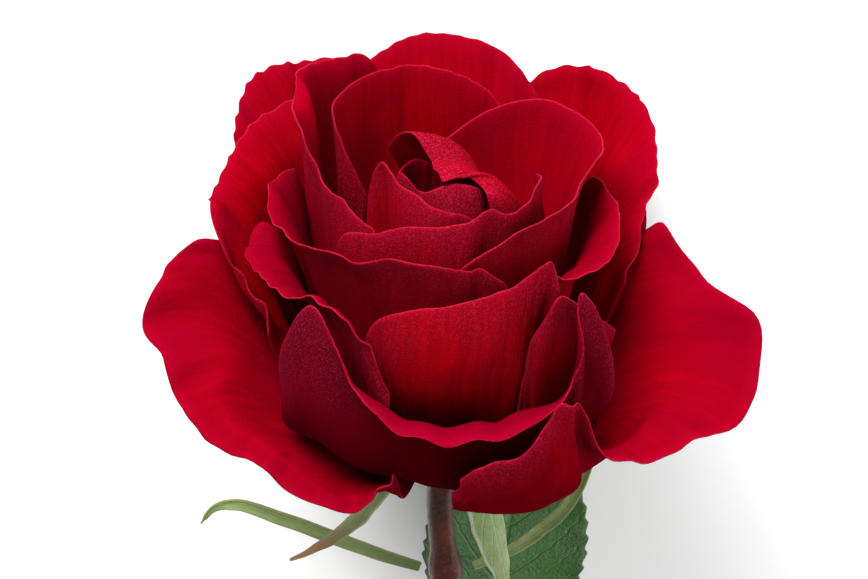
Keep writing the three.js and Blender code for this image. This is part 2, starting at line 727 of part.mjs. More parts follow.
// The bracts' lines from the node, at a length of 52 mm: right, up from the surface, towards the bloom.
const BRACT_OUTLINE = 52;
const BRACT_LINES = {
  bract_left: [
    [0, 0, 0], [-9, 0.5, 3.5], [-18, 0.8, 8], [-28, 1, 13],
    [-36, 1.5, 16], [-40.2, 2, 14.5], [-43.4, 2.5, 9.5],
  ],
  bract_right: [
    [0, 0, 0], [9.6, 5, 0.5], [14.7, 8, 2.5], [19.4, 8.5, 8],
    [22.6, 9, 16], [25, 9.5, 26], [25.5, 10, 35],
  ],
};

function buildBracts(line) {
  const node = stemAt(line, -BRACT_NODE);
  const clear = STEM_RADIUS * NODE_SWELL + SEAT_GAP;
  const reach = BRACT_LENGTH / BRACT_OUTLINE;
  return Object.entries(BRACT_LINES).map(([name, rows]) => {
    const root = node.clone();
    root.x += clear * Math.sign(rows[1][0]);
    const points = rows.map(([x, y, z]) => [root.x + x * reach, root.y + y * reach, root.z + z * reach]);
    return buildBract(name, curve(...points));
  });
}

const STALK_TAPER = 0.65; // a leaf stalk's radius at its end, over its radius at its foot
const STALK_SIDES = 6;
const STALK_STEPS = 8;
const LEAFLET_SAG = 0.1; // of its length
const PAIR_TURN = 58; // degrees between a side leaflet and the stalk
const PAIR_PLACE = 0.68; // of the uppermost pair along the stalk
const PAIR_STEP = 0.42;
const PAIR_SIZE = 0.74; // of the uppermost pair, over the end leaflet's
const PAIR_SHRINK = 0.1;

// A compound leaf: a stalk with a leaflet at its end and pairs of smaller ones beside it.
// side: 1 to the right, -1 to the left. droop: how far the stalk's end drops below its foot.
// turn: how far the end leaflet turns away from the stem, in degrees.
function buildLeaf(name, { foot, side, reach, rise, droop, turn, pairs, size }) {
  const at = (t) => [
    foot.x + side * (STEM_RADIUS * NODE_SWELL + 3 * SEAT_GAP + reach * t),
    foot.y + droop * t * t,
    foot.z + rise * t,
  ];
  const stalk = curve(at(0), at(0.33), at(0.66), at(1));
  const stalkRadius = (t) => STALK_RADIUS * mix(1, STALK_TAPER, t);
  const pieces = [piece(name + "_stalk", rod(stalk, stalkRadius, STALK_SIDES, STALK_STEPS), LEAF_GREEN)];
  const leaflet = (label, t, turn, scale) => {
    const start = stalk.getPoint(t);
    const away = stalk.getTangent(t).applyAxisAngle(new THREE.Vector3(0, side, 0), radians(turn));
    const length = LEAFLET_LENGTH * scale;
    const sag = new THREE.Vector3(0, LEAFLET_SAG * length, 0);
    const clear = SEAT_GAP + (t < 1 ? STALK_RADIUS + SEAT_GAP + LEAF_WALL : LEAF_WALL / 2);
    const root = start.clone().addScaledVector(away, clear);
    const middle = root.clone().addScaledVector(away, length / 2).addScaledVector(sag, 0.15);
    const tip = root.clone().addScaledVector(away, length).add(sag);
    pieces.push(
      blade(name + label, {
        line: new THREE.QuadraticBezierCurve3(root, middle, tip),
        width: LEAFLET_WIDTH * scale,
        outline: (v) => Math.max(0.06, Math.sin(Math.PI * v ** 0.85) ** 0.8),
        face: new THREE.Vector3(0, -1, 0),
        cup: 0.16,
        wall: LEAF_WALL,
        color: LEAF_GREEN,
        across: 4,
        along: 8,
      }),
    );
  };
  leaflet("_leaflet_end", 1, turn, size);
  for (let k = 0; k < pairs; k++) {
    const [t, scale] = [PAIR_PLACE - PAIR_STEP * k, size * (PAIR_SIZE - PAIR_SHRINK * k)];
    leaflet("_leaflet_upper_" + (k + 1), t, PAIR_TURN, scale);
    leaflet("_leaflet_lower_" + (k + 1), t, -PAIR_TURN, scale);
  }
  return pieces;
}

const RIGHT_LEAF = { side: 1, reach: -3, rise: 26, droop: 8.7, turn: 20, pairs: 0, size: 1 };
const LEFT_LEAF = { side: -1, reach: 52, rise: 26, droop: 8, turn: 0, pairs: 2, size: 0.8 };

function buildLeaves(line) {
  const [, upper, lower] = NODE_HEIGHTS;
  return [
    ...buildLeaf("leaf_right", { foot: stemAt(line, upper), ...RIGHT_LEAF }),
    ...buildLeaf("leaf_left", { foot: stemAt(line, lower), ...LEFT_LEAF }),
  ];
}

// ---- the laid-down flower -------------------------------------------------------------------
const CLAW_REACH = 1.3 * HIP_RADIUS; // the petals this near the axis sit on the hip

// The lowest point, along the flower's axis, of the petals over the hip.
function lowestClaw(meshes) {
  let lowest = Infinity;
  for (const { geometry } of meshes) {
    const positions = geometry.getAttribute("position");
    for (let k = 0; k < positions.count; k++)
      if (Math.hypot(positions.getX(k), positions.getY(k)) < CLAW_REACH)
        lowest = Math.min(lowest, positions.getZ(k));
  }
  return lowest;
}

const CLEAR_OF_END = 20; // only points this far up the flower can rest beside the stem's end

// The tilt, in radians, at which the underside of the bloom and the stem's end lie on one plane.
function lyingTilt(meshes, end) {
  const point = new THREE.Vector3();
  let tilt = 0;
  for (const { geometry } of meshes) {
    const positions = geometry.getAttribute("position");
    for (let k = 0; k < positions.count; k++) {
      point.fromBufferAttribute(positions, k);
      if (point.z > end.z + CLEAR_OF_END) tilt = Math.max(tilt, Math.atan2(point.y - end.y, point.z - end.z));
    }
  }
  return tilt;
}

const petals = buildPetals();
const hipTop = lowestClaw(petals) - SEAT_GAP;
const hip = buildHip(hipTop);
const line = stemLine(hipTop - HIP_LENGTH - 2 * SEAT_GAP);
const sepals = SEPALS.map(([name, azimuth, turnUp, share]) =>
  buildSepal(name, azimuth, turnUp, share, hipTop),
);
const stem = await buildStem(line);
const end = line.getPointAt(1);
end.y += stemRadius(line, 1);

const flower = new THREE.Group();
flower.add(...petals, hip, ...sepals, stem, ...buildBracts(line), ...buildLeaves(line));
flower.rotation.x = lyingTilt(petals, end) - Math.PI / 2;

const group = new THREE.Group();
group.add(flower);
const box = new THREE.Box3().setFromObject(group, true);
const centre = box.getCenter(new THREE.Vector3());
group.position.set(-centre.x, -centre.y, -box.min.z);

export default group;
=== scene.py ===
"""A cut rose on a pale floor: a double red bloom on its hip with sepals, bracts, a thorny stem and leaves.

The flower is shaped in its own frame, in millimetres: the bloom's axis is +Z, its seat on the hip is
the origin, azimuth 0 is the side that ends up uppermost and azimuth 90 is +X. It is then laid down
where the frame's hip lies.
"""
import math

import bmesh
import bpy
import numpy as np
from mathutils import Matrix, Vector


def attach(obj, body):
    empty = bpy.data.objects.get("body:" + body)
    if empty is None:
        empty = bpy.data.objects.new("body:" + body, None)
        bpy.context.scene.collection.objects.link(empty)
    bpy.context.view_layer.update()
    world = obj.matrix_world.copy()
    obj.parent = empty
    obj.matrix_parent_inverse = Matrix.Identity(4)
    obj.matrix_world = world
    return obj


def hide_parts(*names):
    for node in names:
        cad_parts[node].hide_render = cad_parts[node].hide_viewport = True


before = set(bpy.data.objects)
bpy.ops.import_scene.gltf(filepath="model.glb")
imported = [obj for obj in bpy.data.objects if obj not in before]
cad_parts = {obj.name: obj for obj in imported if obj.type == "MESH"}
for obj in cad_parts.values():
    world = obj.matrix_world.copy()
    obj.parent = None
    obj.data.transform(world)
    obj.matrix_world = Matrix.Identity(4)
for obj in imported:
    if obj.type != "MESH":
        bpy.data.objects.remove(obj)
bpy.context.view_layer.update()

# ---- sizes, the same as the frame's ---------------------------------------------------------
BLOOM_WIDTH = 115  # across the two open side petals
BLOOM_DEPTH = 57  # from the seat on the hip to the bud's tip
PETAL_WALL = 0.5
PETAL_GAP = 0.4  # least air between two petals
SEAT_GAP = 0.4  # between petals, sepals, hip and stem where they meet
HIP_RADIUS = 6.2
HIP_LENGTH = 12
STEM_RADIUS = 2.5
STEM_LENGTH = 235
NODE_SWELL = 1.35  # the stem's radius at a node, over its radius between nodes
SEPAL_LENGTH = 37
SEPAL_WIDTH = 8.5
SEPAL_WALL = 0.9
BRACT_NODE = 45  # below the bloom's seat
BRACT_LENGTH = 52
BRACT_WIDTH = 2.8
LEAF_WALL = 0.7
STALK_RADIUS = 1.1
LEAFLET_LENGTH = 52
LEAFLET_WIDTH = 34
PRICKLE_LENGTH = 5

# The petals' outlines are given on a bloom 115 mm wide and 57 mm deep.
OUTLINE_WIDTH = 115
OUTLINE_DEPTH = 57
WIDE = BLOOM_WIDTH / OUTLINE_WIDTH
DEEP = BLOOM_DEPTH / OUTLINE_DEPTH
CORE_HEIGHT = 18  # of the point that the cupped petals wrap round
FIRST_CLAW = (2.6, 5)  # radius and height at which the innermost petal's claw stands
LAST_CLAW = (6.4, 1)  # and the outermost petal's
FULL_CUP = 32  # a petal this tall reaches its whole belly; a shorter edge bellies less
LEAST_CUP = 0.35
BELLY_RISE = 0.3  # of the belly over the claw, per millimetre that it stands out
BELLY_FAN = 0.75  # how far the belly turns from the claw's azimuth to the rim's
RIM_GRIP = 0.38  # how much of a petal's length its rim's lean takes up

# ---- petals, from the heart outwards --------------------------------------------------------
# seat: azimuth and half-width, in degrees, of the claw. belly: radius of the cup low down.
# rim: from one edge of the petal round to the other, each point an azimuth, a radius, a height
# and the lean of the petal's end there, in degrees outwards from upright.
# sag: how far the belly hangs in the petal's middle. over: the azimuth that a petal folded over
# the heart comes from. fan: how far the belly turns with the rim. under: petals laid earlier
# that this one tucks beneath.
PETALS = [
    dict(
        name="heart_petal_left",
        seat=(240, 40),
        belly=6,
        rim=[
            (165, 5, 42, 0), (200, 6, 49, -10), (240, 7, 51, -10), (275, 7.5, 50, 0), (300, 7, 42, 0),
        ],
    ),
    dict(
        name="heart_petal_front",
        seat=(20, 40),
        belly=8,
        rim=[
            (-70, 6, 44, 0), (-50, 6.5, 49, 0), (-28, 6, 51.5, -10), (0, 5, 52.5, -30),
            (25, 5.5, 53, -30), (45, 7.5, 52.5, -20), (60, 8.5, 49, 0), (72, 8.5, 40, 0),
        ],
    ),
    dict(
        name="heart_petal_hood",
        seat=(120, -60),
        belly=14,
        over=98,
        fan=0,
        rim=[
            (235, 9, 44, -20), (240, 6.5, 49, -60), (246, 4, 52, -90), (275, 2, 52.5, -105),
            (340, 3.4, 52.5, -110), (357, 5.2, 51.5, -112), (376, 5.3, 52.3, -110),
            (398, 6.2, 52, -100), (404, 8.2, 51, -90), (402, 10, 50, -60), (404, 11, 46.5, -30),
            (412, 12, 40, 0),
        ],
    ),
    dict(
        name="bud_petal_pointed",
        seat=(-30, 40),
        belly=15,
        rim=[
            (-100, 12, 40, 0), (-80, 12.5, 50, 0), (-60, 11.5, 57, 15), (-40, 11.5, 56, 0),
            (-22, 12, 55.5, -10), (-5, 13, 54, -10), (20, 13, 51.5, -5), (45, 14, 44, 0),
        ],
    ),
    dict(
        name="back_petal_inner",
        seat=(206, 32),
        belly=27,
        rim=[
            (147, 25.8, 42, 10), (161, 27, 49.5, 10), (174, 27, 53, 10), (186, 27.5, 54.5, 8),
            (200, 27, 55.5, 5), (220, 25.5, 56, 5), (237, 22.5, 54, 5), (240, 19, 48, 0),
            (236, 16, 40, 0),
        ],
    ),
    dict(
        name="left_petal_tall",
        seat=(262, 42),
        belly=22,
        rim=[
            (200, 31, 50, 10), (206, 31, 56.5, 15), (218, 31, 58, 20), (233, 30.5, 58, 40),
            (241, 28, 56.5, 60), (258, 24.5, 56.5, 20), (272, 20.5, 51.5, 5), (290, 18, 50, 0),
            (312, 16, 49, -5), (325, 16, 44, 0),
        ],
    ),
    dict(
        name="front_petal_inner",
        seat=(20, 45),
        belly=19,
        rim=[
            (-64, 20, 41, 0), (-56, 20, 47.5, 0), (-38, 18.5, 50.5, -5), (-20, 17.5, 53, -5),
            (10, 16.5, 53.5, -5), (25, 16.5, 55.5, 5), (38, 17, 53.5, 0), (52, 17.5, 54, 5),
            (62, 18, 56, 10), (76, 15.5, 54, 0), (86, 15.5, 50, 0), (96, 15, 42, 0),
        ],
    ),
    dict(
        name="right_petal_wrap",
        seat=(84, 42),
        belly=21,
        under=["back_petal_inner"],
        fan=0.5,
        rim=[
            (190, 13, 38, 0), (185, 13.5, 45.5, 0), (174, 16.5, 47.5, 5), (162, 20.5, 49.7, 8),
            (150, 24, 51.7, 10), (136, 26.8, 52.8, 15), (121, 28.4, 52.8, 25), (106, 28.3, 53.2, 35),
            (92, 26, 54.3, 30), (78, 23.5, 52.5, 25), (64, 22, 51.5, 30), (48, 21, 51.7, 30),
            (32, 20.5, 50.8, 30), (10, 20.5, 48.3, 20), (-2, 20, 42, 5),
        ],
    ),
    dict(
        name="left_petal_lipped",
        seat=(-35, 48),
        belly=24.5,
        rim=[
            (-122, 25, 34, 0), (-117, 26, 40, 20), (-108, 28.5, 42, 50), (-98, 30, 44.5, 60),
            (-87, 29.5, 43.5, 65), (-78, 29, 44.5, 50), (-66, 27.5, 46, 40), (-48, 26.5, 49, 40),
            (-32, 26, 50.5, 30), (-16, 25, 52, 20), (6, 24.5, 51, 10), (17, 24, 49, 5),
            (26, 24, 44.5, 5), (31, 24, 36, 0),
        ],
    ),
    dict(
        name="right_petal_middle",
        seat=(80, 45),
        belly=25,
        rim=[
            (118, 26, 38, 0), (108, 27.5, 44.5, 10), (96, 28.5, 45.5, 30), (85, 30, 45.5, 50),
            (74, 31, 45, 65), (63, 31.5, 45, 70), (54, 31.3, 45.5, 70), (46, 31, 46, 60),
            (40, 29.5, 47.5, 40), (34, 27.3, 49, 10), (30, 26.3, 46, 0), (28, 26, 36, 0),
        ],
    ),
    dict(
        name="front_petal_bellied",
        seat=(4, 32),
        belly=26.5,
        rim=[
            (-28, 27, 22, 0), (-26.5, 28.5, 32, 5), (-25, 30, 39, 10), (-19, 30, 44, 0),
            (-8, 29.5, 46.5, -5), (9, 29.5, 48, -5), (21, 29, 49, 0), (28, 29, 50.5, 5),
            (33, 29, 51, 10), (36, 29, 44, 5), (38, 29, 32, 0),
        ],
    ),
    dict(
        name="right_petal_inner",
        seat=(54, 30),
        belly=28,
        rim=[
            (24, 29, 18, 0), (25, 30, 29, 0), (26, 31, 37, 0), (27.5, 31.8, 42, 0), (32, 32.2, 47, 5),
            (39, 32.5, 43.5, 5), (48, 32, 38, 5), (60, 31.5, 32, 5), (72, 31, 25, 5),
        ],
    ),
    dict(
        name="left_petal_reflexed",
        seat=(-50, 46),
        belly=27,
        rim=[
            (-104, 29, 28, 10), (-97, 31.5, 38.5, 60), (-90, 33.5, 37.5, 90), (-84, 34.5, 36.5, 100),
            (-76, 33.5, 37, 90), (-68, 33, 38, 80), (-58, 33, 40, 70), (-46, 33, 43, 60),
            (-35, 32.5, 45, 55), (-26, 32.5, 43, 50), (-20, 32.5, 39, 30), (-16, 31.5, 31, 10),
        ],
    ),
    dict(
        name="front_petal_jaw",
        seat=(1, 54),
        belly=50,
        sag=26,
        rim=[
            (-54, 34, 24, 0), (-48, 35, 33, 0), (-42, 35.5, 41, 0), (-35, 35.5, 47.5, 0),
            (-28, 36, 43, 10), (-23, 38.5, 36, 50), (-17, 41, 33.5, 85), (-10, 42.5, 31, 100),
            (-5, 43, 30, 105), (2, 43.5, 28.5, 110), (8, 43, 30, 105), (14, 43.5, 28.5, 105),
            (20, 42.5, 31, 95), (26, 41, 31.5, 70), (31, 39, 33.5, 30), (33.5, 37, 36.5, 5),
            (34.5, 35, 41.5, -5), (35, 33.5, 45.5, 0), (36, 33, 47.5, 0), (41.5, 33.5, 42, 0),
            (47, 34, 31, 0),
        ],
    ),
    dict(
        name="left_petal_round",
        seat=(248, 42),
        belly=29,
        rim=[
            (212, 35, 38, 20), (220, 38, 47.5, 40), (232, 41, 45.5, 60), (243, 41, 45.5, 65),
            (254, 40.5, 43, 70), (262, 39, 40, 75), (270, 35, 38.5, 60), (278, 32, 32, 30),
            (285, 32, 30, 15), (291, 32, 26, 5),
        ],
    ),
    dict(
        name="back_petal_top",
        seat=(180, 44),
        belly=31,
        rim=[
            (145, 40, 32, 20), (155, 43.5, 38.5, 30), (165, 46, 45.5, 35), (180, 46, 49.5, 35),
            (195, 44.5, 47.5, 35), (206, 42.5, 41, 30), (212, 40, 34, 20),
        ],
    ),
    dict(
        name="right_petal_round",
        seat=(122, 44),
        belly=31,
        rim=[
            (166, 42, 30, 20), (160, 44, 37, 40), (149, 45.5, 42.5, 50), (136, 46.5, 46, 55),
            (125, 45.5, 46, 60), (113, 41.5, 43.5, 60), (104, 38.5, 40.5, 60), (94, 34.5, 37, 50),
            (84, 32, 30, 20),
        ],
    ),
    dict(
        name="back_petal_left",
        seat=(218, 40),
        belly=33,
        rim=[
            (186, 46, 31, 30), (197, 48.5, 42, 45), (210, 51, 45, 50), (221, 52, 45.5, 55),
            (230, 50, 41, 55), (236, 45, 33, 40), (240, 39, 26, 20),
        ],
    ),
    dict(
        name="left_petal_wing",
        seat=(-62, 44),
        belly=32,
        rim=[
            (-104, 33, 22, 30), (-97, 38, 33, 75), (-92, 44.5, 33, 95), (-88, 49.5, 30, 105),
            (-82, 53.5, 24, 110), (-74, 51, 21.5, 115), (-66, 50.5, 17.5, 120), (-57, 49, 14.5, 120),
            (-46, 45.5, 13.5, 120), (-36, 44, 10.5, 120), (-28, 42, 8, 120), (-20, 39, 9.5, 110),
            (-16, 35.5, 13, 70), (-13, 32.5, 14, 40),
        ],
    ),
    dict(
        name="right_petal_wing",
        seat=(62, 46),
        belly=34,
        rim=[
            (106, 36, 30, 30), (99, 39, 37.5, 60), (92, 44, 32, 85), (85, 50, 28.5, 95),
            (80, 56.5, 26.5, 100), (73, 57, 19.5, 110), (63, 57.5, 18.5, 110), (55, 55, 19.5, 105),
            (47, 54, 20.5, 100), (40, 52, 21, 95), (35, 49, 23, 80), (31, 45.5, 30, 50),
            (28, 45, 36, 20), (24, 45, 38, 5), (20, 45.5, 33.5, 0), (13, 45.5, 28, 0),
            (7, 44.5, 26.5, 0), (4, 42, 21, 0), (2, 38, 14, 0),
        ],
    ),
    dict(
        name="guard_petal_back",
        seat=(178, 44),
        belly=36,
        rim=[
            (140, 44, 22, 50), (150, 48, 30, 70), (165, 49, 33, 80), (180, 49, 34, 80),
            (195, 49, 33, 80), (208, 48, 29, 70), (216, 44, 22, 50),
        ],
    ),
    dict(
        name="guard_petal_left",
        seat=(226, 42),
        belly=35,
        rim=[
            (196, 43, 18, 50), (206, 46, 25, 70), (218, 47, 28, 80), (232, 46, 28, 80),
            (244, 42, 25, 70), (252, 37, 18, 50),
        ],
    ),
    dict(
        name="guard_petal_right",
        seat=(138, 42),
        belly=35,
        rim=[
            (108, 36, 17, 50), (118, 42, 25, 70), (130, 46, 28, 80), (144, 47, 28, 80),
            (156, 46, 25, 75), (166, 43, 18, 50),
        ],
    ),
]

# ---- small helpers, in the flower's frame ---------------------------------------------------


def mix(a, b, t):
    return a + (b - a) * t


def around(azimuth, radius, height):
    """The point at an azimuth in degrees, a radius and a height."""
    turn = np.radians(azimuth)
    spot = np.broadcast_arrays(radius * np.sin(turn), -radius * np.cos(turn), height)
    return np.stack(spot, axis=-1)


def unit(vectors):
    return vectors / np.maximum(np.linalg.norm(vectors, axis=-1, keepdims=True), 1e-12)


def smooth(t, low, high):
    """0 below low, 1 above high, and smooth between."""
    t = np.clip((t - low) / (high - low), 0, 1)
    return t * t * (3 - 2 * t)


def through(rows, t):
    """A smooth curve through rows of numbers, at t from 0 to 1."""
    rows = np.asarray(rows, float)
    last = len(rows) - 1
    at = np.clip(t, 0, 1) * last
    i = np.minimum(last - 1, np.floor(at)).astype(int)
    f = (at - i)[..., None]
    p, q, r, s = (rows[np.clip(i + k, 0, last)] for k in (-1, 0, 1, 2))
    return q + 0.5 * f * (r - p + f * (2 * p - 5 * q + 4 * r - s + f * (3 * (q - r) + s - p)))


# ---- the petals' nest ------------------------------------------------------------------------
# Directions from the core are sorted into cells, and each petal notes how far out it reaches in
# each cell. A petal laid later is moved out past the reach of the petals it lies over.
CORE = np.array([0, 0, CORE_HEIGHT * DEEP])
CELLS_ROUND = 120
CELLS_UP = 90
LAY_STEPS = 24  # of the grid on which a petal settles
NEST_STEPS = 4 * LAY_STEPS  # of the finer one that fills the cells
SETTLE_SPREAD = 2  # steps over which the largest shift near a point becomes its own
EASE_PASSES = 2  # of the means that then even the shifts out


def direction(points):
    """Distance from the core and the cell, round and up, that each point lies in."""
    away = points - CORE
    reach = np.linalg.norm(away, axis=-1)
    turn = np.degrees(np.arctan2(away[..., 0], -away[..., 1])) % 360
    rise = np.degrees(np.arcsin(np.clip(away[..., 2] / reach, -1, 1))) + 90
    cell_round = np.floor(turn * CELLS_ROUND / 360).astype(int) % CELLS_ROUND
    cell_up = np.clip(np.floor(rise * CELLS_UP / 180), 0, CELLS_UP - 1).astype(int)
    return reach, cell_round, cell_up


def drawn(petal, order, u, v):
    """The petal as drawn: curves from the claw over the belly to the rim."""
    middle, half = petal["seat"]
    rim = petal["rim"]
    azimuth, radius, height, lean = np.moveaxis(through(rim, u), -1, 0)
    turned = -1 if rim[0][0] > rim[-1][0] else 1
    seat_azimuth = middle + turned * half * (2 * u - 1)
    near = middle + ((azimuth - middle) % 360 + 540) % 360 - 180
    seat_radius, seat_height = (mix(first, last, order) for first, last in zip(FIRST_CLAW, LAST_CLAW))
    start = around(seat_azimuth, seat_radius, seat_height * DEEP)
    end = around(near, radius * WIDE, height * DEEP)
    cupped = np.clip((end[..., 2] - start[..., 2]) / (FULL_CUP * DEEP), LEAST_CUP, 1)
    belly = seat_radius + (petal["belly"] * WIDE - seat_radius) * cupped
    hang = petal.get("sag", 0) * np.sin(np.pi * u) ** 2
    low_height = start[..., 2] + BELLY_RISE * (belly - seat_radius) - hang
    low = around(mix(seat_azimuth, near, petal.get("fan", BELLY_FAN)), belly, low_height)
    grip = RIM_GRIP * np.linalg.norm(end - start, axis=-1)
    outwards = np.radians(petal.get("over", near))
    out = grip * np.sin(np.radians(lean))
    rise = grip * np.cos(np.radians(lean))
    high = end - np.stack([out * np.sin(outwards), -out * np.cos(outwards), rise], axis=-1)
    v = v[..., None]
    return (1 - v) ** 3 * start + 3 * v * (1 - v) ** 2 * low + 3 * v * v * (1 - v) * high + v**3 * end


def sheet_grid(across, along):
    """u and v over an even grid, one row of the grid for each step along."""
    return np.meshgrid(np.linspace(0, 1, across + 1), np.linspace(0, 1, along + 1))


def window(values, size, pick):
    """Each value becomes the pick of those within size steps of it."""
    padded = np.pad(values, size, mode="edge")
    rows, columns = values.shape
    steps = range(2 * size + 1)
    return pick([padded[j : j + rows, i : i + columns] for j in steps for i in steps], axis=0)


def settle(petal, order, nests):
    """How far each point of a petal moves out from the core, on an even grid of its sheet."""
    u, v = sheet_grid(LAY_STEPS, LAY_STEPS)
    reach, cell_round, cell_up = direction(drawn(petal, order, u, v))
    if not nests:
        return np.zeros_like(reach)
    nest = np.max(nests, axis=0)
    wrapped = np.pad(np.pad(nest, ((1, 1), (0, 0)), mode="wrap"), ((0, 0), (1, 1)), mode="edge")
    steps = [(a, b) for a in range(3) for b in range(3)]
    beside = [wrapped[a : a + CELLS_ROUND, b : b + CELLS_UP] for a, b in steps]
    taken = np.max(beside, axis=0)[cell_round, cell_up]
    shift = np.where(taken > 0, np.maximum(0, taken + PETAL_WALL + PETAL_GAP - reach), 0)
    shift = window(shift, SETTLE_SPREAD, np.max)
    for _ in range(EASE_PASSES):
        shift = window(shift, 1, np.mean)
    return shift


def laid(petal, order, shift, u, v):
    """The petal as it lies in the bloom, on an even grid of its sheet."""
    points = drawn(petal, order, u, v)
    along = np.swapaxes(through(shift, v[:, 0]), 0, 1)
    out = np.swapaxes(through(along, u[0]), 0, 1)
    return points + unit(points - CORE) * out[..., None]


def reach_of(points):
    """The farthest reach of one laid petal, cell by cell."""
    nest = np.zeros((CELLS_ROUND, CELLS_UP))
    reach, cell_round, cell_up = direction(points)
    np.maximum.at(nest, (cell_round, cell_up), reach)
    return nest


def runs_back(petal):
    """Whether a petal's claw runs from the higher azimuth to the lower."""
    return petal["rim"][0][0] > petal["rim"][-1][0] or petal["seat"][1] < 0


def outward(points, petal):
    """Unit normals of a laid petal, away from the flower's axis."""
    du = np.gradient(points, axis=1)
    dv = np.gradient(points, axis=0)
    normal = unit(np.cross(du, dv))
    return -normal if runs_back(petal) else normal


# ---- lines ------------------------------------------------------------------------------------


def spline(points, steps):
    """Points along a smooth curve through the given ones, even in the curve's own parameter."""
    points = np.asarray(points, float)
    ends = [2 * points[0] - points[1], *points, 2 * points[-1] - points[-2]]
    path = []
    for t in np.linspace(0, 1, steps + 1) * (len(points) - 1):
        i = min(len(points) - 2, int(t))
        w = t - i
        p, q, r, s = ends[i : i + 4]
        gaps = [max(np.linalg.norm(b - a) ** 0.5, 1e-4) for a, b in ((p, q), (q, r), (r, s))]
        leave = ((q - p) / gaps[0] - (r - p) / (gaps[0] + gaps[1]) + (r - q) / gaps[1]) * gaps[1]
        arrive = ((r - q) / gaps[1] - (s - q) / (gaps[1] + gaps[2]) + (s - r) / gaps[2]) * gaps[1]
        cubic = 2 * q - 2 * r + leave + arrive
        square = -3 * q + 3 * r - 2 * leave - arrive
        path.append(q + w * (leave + w * (square + w * cubic)))
    return np.array(path)


def evenly(path, steps):
    """The same line with its points evenly spaced."""
    lengths = np.concatenate([[0], np.cumsum(np.linalg.norm(np.diff(path, axis=0), axis=1))])
    at = np.linspace(0, lengths[-1], steps + 1)
    return np.stack([np.interp(at, lengths, path[:, c]) for c in range(3)], axis=-1)


def arc(a, b, c, steps):
    """A quadratic curve from a past b to c."""
    t = np.linspace(0, 1, steps + 1)[:, None]
    a, b, c = (np.asarray(p, float) for p in (a, b, c))
    return (1 - t) ** 2 * a + 2 * t * (1 - t) * b + t * t * c


# ---- the flower's place in the world ------------------------------------------------------------
# The hip's outline, each point a share of its radius and of its length above its top.
HIP_OUTLINE = [(0.55, 0.02), (0.9, -0.12), (1, -0.36), (0.86, -0.68), (0.58, -0.9), (0.46, -1)]
HIP_CREST = HIP_OUTLINE[0][1]
CLAW_REACH = 1.3 * HIP_RADIUS  # the petals this near the axis sit on the hip
CORNER_MARGIN = 1e-4  # metres within which corners of the hip lie on its end


def place_of_flower(hip_top):
    """The flower's origin and axes in the world, in metres, from the frame's hip."""
    corners = np.unique(np.round([v.co[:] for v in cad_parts["hip"].data.vertices], 6), axis=0)
    centred = corners - corners.mean(axis=0)
    axis = np.linalg.eigh(centred.T @ centred)[1][:, -1]
    axis = axis * np.sign(axis[1])
    heights = corners @ axis
    top = corners[heights > heights.max() - CORNER_MARGIN].mean(axis=0)
    bottom = corners[heights < heights.min() + CORNER_MARGIN].mean(axis=0)
    axis = unit(top - bottom)
    side = np.array([1.0, 0, 0])
    top_height = (hip_top + HIP_CREST * HIP_LENGTH) / 1000
    return top - axis * top_height, np.stack([side, np.cross(axis, side), axis])


def lay_petals():
    """Every petal's order and settled shift, and how low the petals over the hip reach."""
    nests = {}
    settled = []
    lowest = []
    for k, petal in enumerate(PETALS):
        order = k / (len(PETALS) - 1)
        inside = [nest for name, nest in nests.items() if name not in petal.get("under", [])]
        shift = settle(petal, order, inside)
        fine = laid(petal, order, shift, *sheet_grid(NEST_STEPS, NEST_STEPS))
        nests[petal["name"]] = reach_of(fine)
        wall = PETAL_WALL / 2 * np.abs(outward(fine, petal)[..., 2])
        claw = np.hypot(fine[..., 0], fine[..., 1]) < CLAW_REACH
        lowest += list((fine[..., 2] - wall)[claw])
        settled.append((petal, order, shift))
    return settled, min(lowest)


SETTLED, LOWEST = lay_petals()
HIP_TOP = LOWEST - SEAT_GAP
ORIGIN, AXES = place_of_flower(HIP_TOP)


def to_world(points):
    """From the flower's frame in millimetres to the world in metres."""
    return ORIGIN + np.asarray(points) / 1000 @ AXES


# ---- meshes --------------------------------------------------------------------------------------


def keep(name, mesh_maker, materials, node, tone=0.5):
    """Makes a mesh into a named piece that rides with the flower and stands for a node of the frame."""
    mesh = bpy.data.meshes.new(name)
    mesh_maker.to_mesh(mesh)
    mesh_maker.free()
    for material in materials:
        mesh.materials.append(material)
    mesh.polygons.foreach_set("use_smooth", [True] * len(mesh.polygons))
    shade = mesh.attributes.new("tone", "FLOAT", "POINT")
    shade.data.foreach_set("value", [tone] * len(mesh.vertices))
    made = bpy.data.objects.new(name, mesh)
    bpy.context.scene.collection.objects.link(made)
    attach(made, "root")
    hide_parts(node)
    return made


def sheet(points):
    """A grid of faces placed on rows of points, with its steps across and along as its UV map."""
    rows, columns = points.shape[:2]
    made = bmesh.new()
    layer = made.loops.layers.uv.new("UVMap")
    bmesh.ops.create_grid(made, x_segments=columns - 1, y_segments=rows - 1, size=0.5)
    world = to_world(points)
    spots = {}
    for vertex in made.verts:
        spots[vertex] = (vertex.co.x + 0.5, vertex.co.y + 0.5)
    for face in made.faces:
        for loop in face.loops:
            loop[layer].uv = spots[loop.vert]
    for vertex, (u, v) in spots.items():
        vertex.co = world[round(v * (rows - 1)), round(u * (columns - 1))]
    return made


def tube(points):
    """A closed tube: rings of points whose first and last columns meet, with filled ends."""
    made = sheet(points)
    bmesh.ops.remove_doubles(made, verts=made.verts[:], dist=1e-6)
    bmesh.ops.holes_fill(made, edges=[e for e in made.edges if e.is_boundary], sides=0)
    bmesh.ops.recalc_face_normals(made, faces=made.faces[:])
    return made


RING_FACES = np.array([0.13, -1.0, 0.07])  # a ring's first point is square to this and to its line


